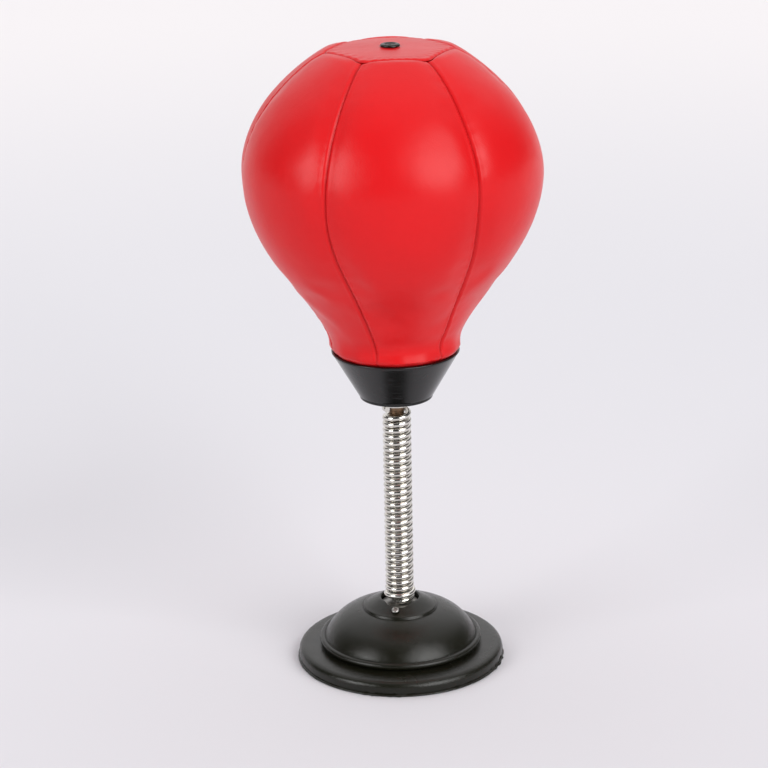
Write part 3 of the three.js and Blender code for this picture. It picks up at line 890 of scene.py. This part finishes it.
class PUNCHINGBAG_OT_bag_cup(bpy.types.Operator):
    """Model the plastic cup, the washer under it and the plug in the top of the spring"""

    bl_idname = "punchingbag.bag_cup"
    bl_label = "Bag Cup"

    def execute(self, context):
        settings = context.scene.punching_bag
        cup = settings.cup
        hub = foot_of("bag_cup")
        foot = hub + cup.hub_height
        rim = top_of("bag_cup")
        bead = cup.bead_height
        out = cup.bottom_radius + cup.bead_out
        slope = (cup.top_radius - cup.bottom_radius) / (rim - foot)
        inset = cup.wall * math.hypot(1, slope)
        lip = 0.45 * MM
        boss, round_off = 7.5 * MM, 0.3 * MM
        outline = [(BOLT_BORE, hub), (boss - round_off, hub), (boss, hub + round_off)]
        outline += [(boss, foot - round_off), (boss + round_off, foot), (cup.bottom_radius - 0.5 * MM, foot)]
        low = (cup.bottom_radius, foot + 0.08 * MM)
        outline += bezier(low, (out, foot + 0.2 * MM), (out, foot + 0.8 * MM), steps=4)
        outline += [(out, foot + bead - 0.6 * MM)]
        outline += bezier(
            (out - 0.05 * MM, foot + bead - 0.2 * MM),
            (cup.bottom_radius + slope * bead, foot + bead - 0.1 * MM),
            (cup.bottom_radius + slope * (bead + 0.8 * MM), foot + bead + 0.8 * MM),
            steps=4,
        )
        outline += [(cup.top_radius - slope * 2 * MM, rim - 2 * MM)]
        outline += arc((cup.top_radius - lip - 0.1 * MM, rim - lip), lip, -20, 90, 5)
        outline += arc((cup.top_radius - inset + lip, rim - lip), lip, 90, 170, 4)
        floor = foot + cup.floor
        outline += [(cup.bottom_radius + slope * cup.floor - inset, floor)]
        outline += [(BOLT_BORE, floor), (BOLT_BORE, hub)]
        piece = turned_piece("plastic_bag_cup", outline)
        smooth(piece, 30)
        finish_piece(piece, "bag", "cup_plastic", plastic(cup), "bag_cup")
        self.add_washer(settings.spring)
        self.add_plug(settings.spring)
        return {"FINISHED"}

    def add_washer(self, spring):
        foot, top = foot_of("cup_washer"), top_of("cup_washer")
        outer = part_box("cup_washer")[1].x
        edge = rounded_edge(outer, foot, top, 0.3 * MM)
        outline = [(BOLT_BORE, foot), *edge, (BOLT_BORE, top), (BOLT_BORE, foot)]
        washer = turned_piece("cup_washer_plate", outline, SMALL_SIDES)
        smooth(washer, 30)
        material = ready_material("Chrome Plate", chrome_material, spring)
        finish_piece(washer, "bag", "chrome", material, "cup_washer")

    def add_plug(self, spring):
        """The core is threaded where the spring is screwed onto it."""
        foot, top = foot_of("upper_spring_plug"), top_of("upper_spring_plug")
        core = core_radius(spring)
        outline = [(BOLT_BORE, foot), (core - 0.4 * MM, foot), (core, foot + 0.4 * MM)]
        thread = 1.25 * MM  # from one ridge to the next
        root = core - 0.35 * MM
        count = int((top - foot - 2 * MM) / thread)
        for i in range(count):
            base = foot + 0.6 * MM + i * thread
            outline += [(core, base), (root, base + 0.3 * thread), (root, base + 0.45 * thread)]
            outline += [(core, base + 0.75 * thread)]
        outline += [(core, top), (BOLT_BORE, top), (BOLT_BORE, foot)]
        plug = turned_piece("spring_plug_upper", outline, SMALL_SIDES)
        smooth(plug, 30)
        finish_piece(plug, "bag", "plug_brass", brass_material(), "upper_spring_plug")


# ----------------------------------------------------------------------------
# Leather bag


COARSE_COLUMNS = 24  # of cloth in one panel
CROWN_STEPS = 40  # of the profile over the top panel
GORE_ROWS = 92
CAP_ROWS = 14
SEAM_STEPS = [0, 0.2, 0.4, 0.6, 0.85, 1.15, 1.5, 1.9, 2.4, 3.2, 4.4, 6.0]  # mesh lines beside a seam, in mm
CLOTH_SETTINGS = {
    "quality": 6,
    "mass": 0.25,
    "tension_stiffness": 30,
    "compression_stiffness": 18,
    "shear_stiffness": 12,
    "bending_stiffness": 3,
    "use_pressure": True,
    "uniform_pressure_force": 4,
    "vertex_group_mass": "held",
    "pin_stiffness": 1,
    "vertex_group_shrink": "seams",
    "shrink_min": 0,
    "shrink_max": 0.035,
}
CLOTH_FRAMES = 20


def bell(value, middle, width, power=2):
    """Falls off smoothly from 1 on both sides of a middle."""
    return np.exp(-(((value - middle) / width) ** power))


def grid_faces(rows, columns, closed=True):
    """Faces of a grid of points, row by row. A closed grid joins its last column to its first."""
    faces = []
    for row in range(rows - 1):
        low, high = row * columns, (row + 1) * columns
        for column in range(columns if closed else columns - 1):
            beside = (column + 1) % columns
            faces.append((low + column, low + beside, high + beside, high + column))
    return faces


class BagSurface:
    """The outer face of the whole bag as a grid of rings, from the hem in the cup to the valve hole."""

    def __init__(self, bag, cup):
        self.bag = bag
        self.cup = cup
        self.rim = top_of("bag_cup")
        self.top = top_of("bag_top_panel")
        self.line = self.profile()
        steps = np.linalg.norm(np.diff(self.line, axis=0), axis=1)
        self.distance = np.concatenate([[0], np.cumsum(steps)])
        self.columns = COARSE_COLUMNS * bag.panels
        self.rows = GORE_ROWS + CAP_ROWS + 1
        self.points = self.grid()

    def profile(self):
        """Radius and height along the leather, from its hem to the valve hole."""
        bag, cup = self.bag, self.cup
        foot = foot_of("bag_cup") + cup.hub_height
        slope = (cup.top_radius - cup.bottom_radius) / (self.rim - foot)
        inset = (cup.wall + CLEARANCE + 0.1 * MM) * math.hypot(1, slope)
        hem = foot + cup.floor + 2 * MM
        belly = self.rim + bag.belly_rise
        corner = belly + 66 * MM  # where the top panel begins
        leave = self.rim - 1 * MM
        points = bezier(
            (cup.bottom_radius + slope * (hem - foot) - inset, hem),
            (cup.bottom_radius + slope * (leave - foot) - inset, leave),
            steps=24,
        )
        fold = self.rim + 4.2 * MM
        neck_reach, neck_out = 31.2 * MM, 7 * MM  # how far the neck runs on upwards and outwards
        belly_below, belly_above = 45.5 * MM, 29.8 * MM  # how far the belly stays wide
        cap_out, cap_drop = 17 * MM, 8.6 * MM  # how the shoulder leaves the top panel
        points += bezier(
            points[-1],
            (points[-1][0] + 0.5 * MM, self.rim + 0.9 * MM),
            (bag.neck_radius, self.rim + 0.6 * MM),
            (bag.neck_radius, fold),
            steps=24,
        )[1:]
        points += bezier(
            (bag.neck_radius, fold),
            (bag.neck_radius + neck_out, fold + neck_reach),
            (bag.radius, belly - belly_below),
            (bag.radius, belly),
            steps=120,
        )[1:]
        points += bezier(
            (bag.radius, belly),
            (bag.radius, belly + belly_above),
            (bag.cap_radius + cap_out, corner - cap_drop),
            (bag.cap_radius, corner),
            steps=100,
        )[1:]
        points += bezier(
            (bag.cap_radius, corner),
            (bag.cap_radius / 2, self.top),
            (VALVE_BORE, self.top),
            steps=CROWN_STEPS,
        )[1:]
        return np.array(points)

    def at(self, distance):
        """Radius and height at a distance along the profile."""
        radius = np.interp(distance, self.distance, self.line[:, 0])
        height = np.interp(distance, self.distance, self.line[:, 1])
        return radius, height

    def grid(self):
        bag = self.bag
        half = math.pi / bag.panels
        column = np.arange(self.columns)
        across = (column % COARSE_COLUMNS) / COARSE_COLUMNS * 2 * half - half
        edge_radius = bag.cap_radius * math.cos(half) / np.cos(across)
        crown = np.interp(-edge_radius, -self.line[-CROWN_STEPS:, 0], self.distance[-CROWN_STEPS:])
        rows = np.arange(self.rows)[:, None]
        gore = crown * np.minimum(rows / GORE_ROWS, 1)
        cap = (self.distance[-1] - crown) * np.maximum(rows - GORE_ROWS, 0) / CAP_ROWS
        radius, height = self.at(gore + cap)
        azimuth = np.radians(bag.seam_azimuth) + column * 2 * half / COARSE_COLUMNS + 0 * radius
        azimuth = azimuth + self.lean(height)
        self.azimuth = azimuth
        share = (column % COARSE_COLUMNS) / COARSE_COLUMNS
        arch = np.sin(math.pi * share) ** 0.8
        mean_arch = 0.72
        above = height - self.rim
        ease = 30 * MM  # the panels' fullness begins and ends over this height
        swell = np.clip(above / ease, 0, 1) * np.clip((self.top - height) / ease, 0, 1)
        radius = radius + bag.pillow * (arch - mean_arch) * swell
        gather = np.exp(-np.clip(above - 3 * MM, 0, None) / (9 * MM)) * (height > self.rim - 0.5 * MM)
        waves = np.sin(7 * azimuth + 0.6) + 0.7 * np.sin(13 * azimuth + 2.1) + 0.5 * np.sin(19 * azimuth)
        wave_height = 0.22 * MM
        radius = radius + wave_height * waves * gather
        fullest = math.radians(20)  # azimuth at which the neck bulges most
        front = 0.25 + 0.75 * np.clip(np.cos(azimuth - fullest), 0, 1) ** 1.5
        roll = bell(above, 3.4 * MM, 2.6 * MM) * np.clip(above / MM, 0, 1)
        waist = bell(above, 12 * MM, 5 * MM)
        radius = radius + (bag.neck_roll * roll - 0.5 * bag.neck_roll * waist) * front
        sag = -1 * MM * bell(above, 50 * MM, 32 * MM)
        return np.stack([radius * np.sin(azimuth) + sag, -radius * np.cos(azimuth), height], axis=-1)

    def lean(self, height):
        """How far round the seams have moved, in radians. The neck was twisted as it went into the cup."""
        reach = 95 * MM  # above the cup's rim
        down = np.clip((self.rim + reach - height) / reach, 0, 1)
        return math.radians(self.bag.neck_twist) * down * down * (3 - 2 * down)

    def simulate(self):
        """Inflates the sewn bag as cloth, with its seams drawn tight."""
        cloth = self.cloth_object()
        scene = bpy.context.scene
        make_active(cloth)
        bpy.ops.object.modifier_add(type="CLOTH")
        modifier = cloth.modifiers[-1]
        for name, value in CLOTH_SETTINGS.items():
            setattr(modifier.settings, name, value)
        modifier.settings.effector_weights.gravity = 0
        modifier.collision_settings.use_collision = False
        modifier.collision_settings.use_self_collision = False
        modifier.point_cache.frame_start = 1
        modifier.point_cache.frame_end = CLOTH_FRAMES
        for step in range(1, CLOTH_FRAMES + 1):
            scene.frame_set(step)
        moved = cloth.evaluated_get(bpy.context.evaluated_depsgraph_get())
        flat = np.empty(3 * len(cloth.data.vertices))
        moved.data.vertices.foreach_get("co", flat)
        bpy.data.objects.remove(cloth)
        scene.frame_set(1)
        self.keep_shape(flat.reshape(self.points.shape))

    def cloth_object(self):
        rows, columns = self.rows, self.columns
        faces = grid_faces(rows, columns)
        mesh = bpy.data.meshes.new("bag_cloth")
        mesh.from_pydata(self.points.reshape(-1, 3).tolist(), [], faces)
        cloth = bpy.data.objects.new("bag_cloth", mesh)
        bpy.context.scene.collection.objects.link(cloth)
        held = cloth.vertex_groups.new(name="held")
        seams = cloth.vertex_groups.new(name="seams")
        heights = self.points[:, 0, 2]
        for row in range(rows):
            ring = [row * columns + column for column in range(columns)]
            if heights[row] < self.rim + 1.5 * MM or row == rows - 1:
                held.add(ring, 1, "REPLACE")
            if row == GORE_ROWS:
                seams.add(ring, 1, "REPLACE")
            elif row < GORE_ROWS:
                seams.add(ring[::COARSE_COLUMNS], 1, "REPLACE")
        return cloth

    def keep_shape(self, inflated):
        """Adds the cloth's movement to the grid, less its mean round each ring, and at most 2 mm of it."""
        moved = inflated - self.points
        outward = np.stack([np.sin(self.azimuth), -np.cos(self.azimuth), 0 * self.azimuth], axis=-1)
        radial = (moved * outward).sum(axis=-1)
        even = radial.mean(axis=1, keepdims=True)[..., None] * outward
        even[..., 2] = moved[..., 2].mean(axis=1, keepdims=True)
        moved = moved - even
        for _ in range(2):
            moved = (np.roll(moved, 1, axis=1) + 2 * moved + np.roll(moved, -1, axis=1)) / 4
            moved[1:-1] = (moved[:-2] + 2 * moved[1:-1] + moved[2:]) / 4
        size = np.linalg.norm(moved, axis=-1, keepdims=True)
        cap = 2 * MM
        height = self.points[..., 2:]
        clear = np.clip((height - self.rim - 8 * MM) / (45 * MM), 0, 1)
        clear = clear * np.clip((self.top + 8 * MM - height) / (40 * MM), 0.2, 1)
        self.points = self.points + moved * clear * cap / (cap + size)

    def normals(self):
        """Outward normals of the grid, from its neighbours round the ring and along the profile."""
        around = np.roll(self.points, -1, axis=1) - np.roll(self.points, 1, axis=1)
        along = np.gradient(self.points, axis=0)
        normal = np.cross(around, along)
        return normal / np.linalg.norm(normal, axis=-1, keepdims=True)


def cubic_weights(t):
    """Weights of the four points round a place between the middle two."""
    return np.stack(
        [
            -0.5 * t + t**2 - 0.5 * t**3,
            1 - 2.5 * t**2 + 1.5 * t**3,
            0.5 * t + 2 * t**2 - 1.5 * t**3,
            -0.5 * t**2 + 0.5 * t**3,
        ]
    )


def sample(grid, row, column):
    """Reads a grid of vectors smoothly at fractional rows and columns. Columns run on past the seams."""
    rows, columns = grid.shape[:2]
    row_floor = np.clip(np.floor(row).astype(int), 0, rows - 2)
    column_floor = np.floor(column).astype(int)
    row_weights = cubic_weights(row - row_floor)
    column_weights = cubic_weights(column - column_floor)
    total = 0
    for i in range(4):
        at_row = np.clip(row_floor + i - 1, 0, rows - 1)
        for j in range(4):
            at_column = (column_floor + j - 1) % columns
            weight = row_weights[i] * column_weights[j]
            total = total + weight[..., None] * grid[at_row, at_column]
    return total


def seam_lines(width, spacing, ends):
    """Distances of the fine mesh's lines across a width: close together beside a seamed end."""
    near = np.array(SEAM_STEPS) * MM
    low = near if ends[0] else np.array([0.0])
    high = width - near[::-1] if ends[1] else np.array([width])
    count = max(int(round((high[0] - low[-1]) / spacing)), 2)
    middle = np.linspace(low[-1], high[0], count + 1)[1:-1]
    return np.concatenate([low, middle, high])


class PUNCHINGBAG_OT_leather_bag(bpy.types.Operator):
    """Sew and inflate the leather bag: six side panels and a six-sided top panel"""

    bl_idname = "punchingbag.leather_bag"
    bl_label = "Leather Bag"

    def execute(self, context):
        settings = context.scene.punching_bag
        bag = settings.bag
        surface = BagSurface(bag, settings.cup)
        surface.simulate()
        self.normals = surface.normals()
        material = leather_material(bag)
        for panel in range(bag.panels):
            piece = self.side_panel(surface, bag, panel)
            self.finish_leather(piece, bag, material, f"bag_panel_{panel + 1}")
        piece = self.top_panel(surface, bag)
        self.finish_leather(piece, bag, material, "bag_top_panel")
        return {"FINISHED"}

    def finish_leather(self, piece, bag, material, node):
        add_modifier(piece, "SOLIDIFY", thickness=bag.thickness, offset=-1)
        smooth(piece, 50)
        finish_piece(piece, "bag", "red_leather", material, node)

    def side_panel(self, surface, bag, panel):
        """One gore. Its lines lie close together beside its seams, where it rolls in."""
        first = panel * COARSE_COLUMNS
        own = surface.points[: GORE_ROWS + 1, (first + np.arange(COARSE_COLUMNS + 1)) % surface.columns]
        widths = np.linalg.norm(np.diff(own, axis=1), axis=-1).sum(axis=1)
        middle = own[:, COARSE_COLUMNS // 2]
        lengths = np.concatenate([[0], np.cumsum(np.linalg.norm(np.diff(middle, axis=0), axis=1))])
        along = seam_lines(lengths[-1], 2.0 * MM, (False, True))
        rows = np.interp(along, lengths, np.arange(GORE_ROWS + 1))
        row_widths = np.interp(rows, np.arange(GORE_ROWS + 1), widths)
        near = np.array(SEAM_STEPS) * MM
        inner = np.linspace(0, 1, 27)[1:-1]
        last = near[-1]
        lines = [np.concatenate([near, last + inner * (w - 2 * last), w - near[::-1]]) for w in row_widths]
        across = np.array(lines)
        columns = first + across / row_widths[:, None] * COARSE_COLUMNS
        row_grid = np.repeat(rows[:, None], across.shape[1], axis=1)
        side = np.minimum(across, row_widths[:, None] - across)
        end = (lengths[-1] - along)[:, None] + 0 * side
        left = across < row_widths[:, None] / 2
        run = along[:, None] + 0 * side
        phase = panel * 7.3 + np.where(left, 0.0, 3.1)
        name = f"leather_panel_{panel + 1}"
        return self.panel_mesh(surface, bag, name, row_grid, columns, side, end, run, phase)

    def top_panel(self, surface, bag):
        """The top panel, in rings from its seam to the valve hole."""
        cap = surface.points[GORE_ROWS:]
        middle = COARSE_COLUMNS // 2
        lengths = np.concatenate([[0], np.cumsum(np.linalg.norm(np.diff(cap[:, middle], axis=0), axis=1))])
        inward = seam_lines(lengths[-1], 1.8 * MM, (True, False))
        rows = GORE_ROWS + np.interp(inward, lengths, np.arange(CAP_ROWS + 1))
        count = 5 * surface.columns // 3
        columns = np.arange(count) * surface.columns / count
        row_grid = np.repeat(rows[:, None], count, axis=1)
        column_grid = np.repeat(columns[None, :], len(rows), axis=0)
        end = inward[:, None] + 0 * column_grid
        far = end + 1
        run = bag.cap_radius * column_grid * 2 * math.pi / surface.columns
        return self.panel_mesh(
            surface, bag, "leather_top_panel", row_grid, column_grid, far, end, run, 0 * far, closed=True
        )

    def panel_mesh(self, surface, bag, name, rows, columns, side, end, run, phase, closed=False):
        """Builds a panel's mesh and rolls its edges down into the seams.

        side and end are distances to the seams beside and above a point. run is its distance along the seam.
        """
        points = sample(surface.points, rows, columns)
        normals = sample(self.normals, rows, columns)
        normals /= np.linalg.norm(normals, axis=-1, keepdims=True)
        above = np.clip((points[..., 2] - surface.rim) / (8 * MM), 0.25, 1)
        near = np.minimum(side, end)
        width = bag.seam_width
        groove = bag.seam_depth * bell(near, 0, width, 1.7) * above
        groove = groove + bag.seam_roll * bell(near, 0, 2.4 * MM, 1.6) * above
        shoulder = 0.3 * MM * bell(near, 1.7 * MM, 0.9 * MM) * above
        puckers = self.puckers(bag, near, run, phase) * above
        dimple = 0.9 * MM * bell(np.hypot(side, end), 0, 7 * MM)
        dents = self.dents(points)
        points = points + normals * (shoulder + puckers + dents - groove - dimple)[..., None]
        faces = grid_faces(*points.shape[:2], closed)
        mesh = bpy.data.meshes.new(name)
        mesh.from_pydata(points.reshape(-1, 3).tolist(), [], faces)
        # Masks for painted shade: seam is high in the seams' creases, fold near and below the cup's rim, and
        # the leather material darkens the colour with both.
        depth = mesh.attributes.new("seam", "FLOAT", "POINT")
        depth.data.foreach_set("value", bell(near, 0, 1.2 * width).ravel().astype(np.float32))
        fold = mesh.attributes.new("fold", "FLOAT", "POINT")
        crease = np.exp(-np.clip(points[..., 2] - surface.rim - 0.5 * MM, 0, None) / (3.5 * MM))
        fold.data.foreach_set("value", crease.ravel().astype(np.float32))
        mesh.update()
        piece = bpy.data.objects.new(name, mesh)
        bpy.context.scene.collection.objects.link(piece)
        return piece

    def puckers(self, bag, near, run, phase):
        """Small gathers across a seam, uneven along it, which fade a few millimetres from it."""
        uneven = run / (6.5 * MM) + 0.8 * np.sin(run / (17 * MM) + phase) + phase
        height = np.sin(2 * math.pi * uneven) * (0.6 + 0.4 * np.sin(run / (23 * MM) + 2 * phase))
        fade = bell(near, 2.2 * MM, 2.4 * MM)
        return bag.pucker * height * fade

    def dents(self, points):
        """Slow unevenness of the padded surface."""
        flat = points.reshape(-1, 3)
        height = 0
        for size, amount in ((34 * MM, 0.45 * MM), (13 * MM, 0.10 * MM)):
            height = height + amount * np.array([noise.noise(Vector(point) / size) for point in flat])
        return height.reshape(points.shape[:2])


class PUNCHINGBAG_OT_air_valve(bpy.types.Operator):
    """Model the rubber air valve with its raised collar and needle hole"""

    bl_idname = "punchingbag.air_valve"
    bl_label = "Air Valve"

    def execute(self, context):
        low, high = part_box("air_valve")
        outer = high.x
        flange = top_of("bag_top_panel") + CLEARANCE
        top = high.z
        stem, hole = 3 * MM, 0.7 * MM
        outline = [(0, low.z), (stem - 0.4 * MM, low.z), (stem, low.z + 0.5 * MM)]
        outline += [(stem, flange), (outer - 0.3 * MM, flange)]
        rim = (outer - 1 * MM, top - 0.1 * MM)
        outline += bezier((outer, flange + 0.2 * MM), (outer, top - 0.3 * MM), rim, steps=5)
        dip = (outer - 2.7 * MM, top - 0.5 * MM)
        outline += bezier((outer - 1.6 * MM, top), (outer - 2.4 * MM, top - 0.05 * MM), dip, steps=5)
        edge = (hole, top - 1.2 * MM)
        outline += bezier((1.6 * MM, top - 0.55 * MM), (0.9 * MM, top - 0.6 * MM), edge, steps=5)
        outline += [(hole, top - 9 * MM), (0, top - 9 * MM)]
        valve = turned_piece("rubber_air_valve", outline, SMALL_SIDES)
        smooth(valve, 40)
        base = context.scene.punching_bag.base
        finish_piece(valve, "bag", "valve_rubber", rubber(base), "air_valve")
        return {"FINISHED"}


class PUNCHINGBAG_OT_inner_parts(bpy.types.Operator):
    """Finish the bolts, washers, clamp and bladder that lie inside"""

    bl_idname = "punchingbag.inner_parts"
    bl_label = "Inner Parts"

    def execute(self, context):
        for node in ("anchor_bolt", "plug_washer", "cup_bolt", "cup_bolt_washer"):
            finish_node(node, steel())
        finish_node("clamp_plug", plastic(context.scene.punching_bag.cup))
        self.add_bladder(context.scene.punching_bag)
        return {"FINISHED"}

    def add_bladder(self, settings):
        """The bladder follows the leather from inside, clear of its seams."""
        surface = BagSurface(settings.bag, settings.cup)
        gap = 3.4 * MM
        foot = foot_of("air_bladder")
        outer = []
        for place in np.linspace(0, surface.distance[-1], 90):
            radius, height = surface.at(place)
            ahead, above = surface.at(place + MM)
            behind, below = surface.at(place - MM)
            along = Vector((ahead - behind, above - below)).normalized()
            inner = (radius - gap * along.y, height + gap * along.x)
            if inner[1] > surface.rim and inner[0] > VALVE_BORE:
                outer.append(inner)
        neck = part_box("clamp_plug")[1].x - 4 * MM
        outer = [(0, foot), (neck, foot), *outer, (VALVE_BORE, outer[-1][1])]
        bladder = turned_piece("inflated_bladder", outer, ROUND_SIDES // 2)
        add_modifier(bladder, "SOLIDIFY", thickness=0.8 * MM, offset=-1)
        smooth(bladder, 40)
        finish_piece(bladder, "bag", "bladder_rubber", bladder_material(), "air_bladder")


# ----------------------------------------------------------------------------
# Stage


class PUNCHINGBAG_OT_stage(bpy.types.Operator):
    """Set up the pale floor, the soft studio lights and the camera"""

    bl_idname = "punchingbag.stage"
    bl_label = "Stage"

    def execute(self, context):
        stage = context.scene.punching_bag.stage
        self.add_floor(stage)
        self.add_world(context.scene)
        self.add_lamp("key_light", azimuth=43, elevation=26, spread=47, strength=2.5)
        self.add_lamp("fill_light", azimuth=-54, elevation=20, spread=32, strength=1.4)
        self.add_camera(stage)
        context.scene.view_settings.view_transform = "Standard"
        return {"FINISHED"}

    def add_floor(self, stage):
        deselect_all()
        bpy.ops.mesh.primitive_plane_add(size=stage.floor_size, location=(0, 0, 0))
        floor = bpy.context.object
        floor.name = "floor"
        floor.data.materials.append(floor_material(stage))

    def add_world(self, scene):
        """A pale tent that is open, and so darker, in front."""
        world = bpy.data.worlds.new("studio")
        world.use_nodes = True
        nodes = NodeTree(world.node_tree)
        direction = nodes.add("ShaderNodeTexCoord").outputs["Generated"]
        part = nodes.add("ShaderNodeSeparateXYZ", {0: direction}).outputs
        rearward = nodes.maths("SUBTRACT", part["Y"], nodes.maths("MULTIPLY", part["X"], 0.2))
        behind = nodes.fade(rearward, 0.45, 0.9)
        leaning = nodes.maths("ADD", part["Z"], nodes.maths("MULTIPLY", part["Y"], 0.5))
        above = nodes.fade(leaning, 0.5, 1.0)
        tent = nodes.mix(behind, (0.07, 0.07, 0.072, 1), (0.80, 0.79, 0.80, 1))
        tent = nodes.mix(above, tent, (1.12, 1.11, 1.14, 1))
        background = world.node_tree.nodes["Background"]
        world.node_tree.links.new(tent, background.inputs["Color"])
        scene.world = world

    def add_lamp(self, name, azimuth, elevation, spread, strength):
        """A far, wide and even light from one direction. All the angles are in degrees."""
        deselect_all()
        turn, rise = math.radians(azimuth), math.radians(elevation)
        away = Vector((math.sin(turn) * math.cos(rise), -math.cos(turn) * math.cos(rise), math.sin(rise)))
        facing = (-away).to_track_quat("-Z", "Y").to_euler()
        bpy.ops.object.light_add(type="SUN", location=2 * away, rotation=facing)
        light = bpy.context.object
        light.name = name
        light.data.angle = math.radians(spread)
        light.data.energy = strength

    def add_camera(self, stage):
        deselect_all()
        turn = (
            Matrix.Rotation(-math.radians(stage.camera_yaw), 4, "Z")
            @ Matrix.Rotation(math.radians(90 - stage.camera_pitch), 4, "X")
            @ Matrix.Rotation(math.radians(stage.camera_roll), 4, "Z")
        )
        place = (0, -stage.camera_distance, stage.camera_height)
        bpy.ops.object.camera_add(location=place, rotation=turn.to_euler())
        camera = bpy.context.object
        camera.data.sensor_width = 36
        camera.data.lens = stage.lens
        bpy.context.scene.camera = camera


# ----------------------------------------------------------------------------
# Panel, registration and the run itself


OPERATORS = [
    PUNCHINGBAG_OT_suction_cup,
    PUNCHINGBAG_OT_base_dome,
    PUNCHINGBAG_OT_base_fittings,
    PUNCHINGBAG_OT_spring,
    PUNCHINGBAG_OT_bag_cup,
    PUNCHINGBAG_OT_leather_bag,
    PUNCHINGBAG_OT_air_valve,
    PUNCHINGBAG_OT_inner_parts,
    PUNCHINGBAG_OT_stage,
]
SETTINGS = [BaseSettings, SpringSettings, CupSettings, BagSettings, StageSettings, PunchingBagSettings]


class PUNCHINGBAG_PT_sidebar(bpy.types.Panel):
    """The punching bag's settings and steps"""

    bl_idname = "PUNCHINGBAG_PT_sidebar"
    bl_label = "Punching Bag"
    bl_space_type = "VIEW_3D"
    bl_region_type = "UI"
    bl_category = "Punching Bag"

    def draw(self, context):
        for operator in OPERATORS:
            self.layout.operator(operator.bl_idname)
        settings = context.scene.punching_bag
        for group in ("base", "spring", "cup", "bag", "stage"):
            box = self.layout.box()
            box.label(text=group.capitalize())
            part = getattr(settings, group)
            for name in part.__annotations__:
                box.prop(part, name)


def register():
    for cls in (*SETTINGS, *OPERATORS, PUNCHINGBAG_PT_sidebar):
        bpy.utils.register_class(cls)
    group = settings_group(PunchingBagSettings, "Punching bag", "Settings of the punching bag")
    bpy.types.Scene.punching_bag = group


def unregister():
    del bpy.types.Scene.punching_bag
    for cls in reversed((*SETTINGS, *OPERATORS, PUNCHINGBAG_PT_sidebar)):
        bpy.utils.unregister_class(cls)


def main():
    register()
    for operator in OPERATORS:
        group, name = operator.bl_idname.split(".")
        getattr(getattr(bpy.ops, group), name)()


if __name__ == "__main__":
    main()
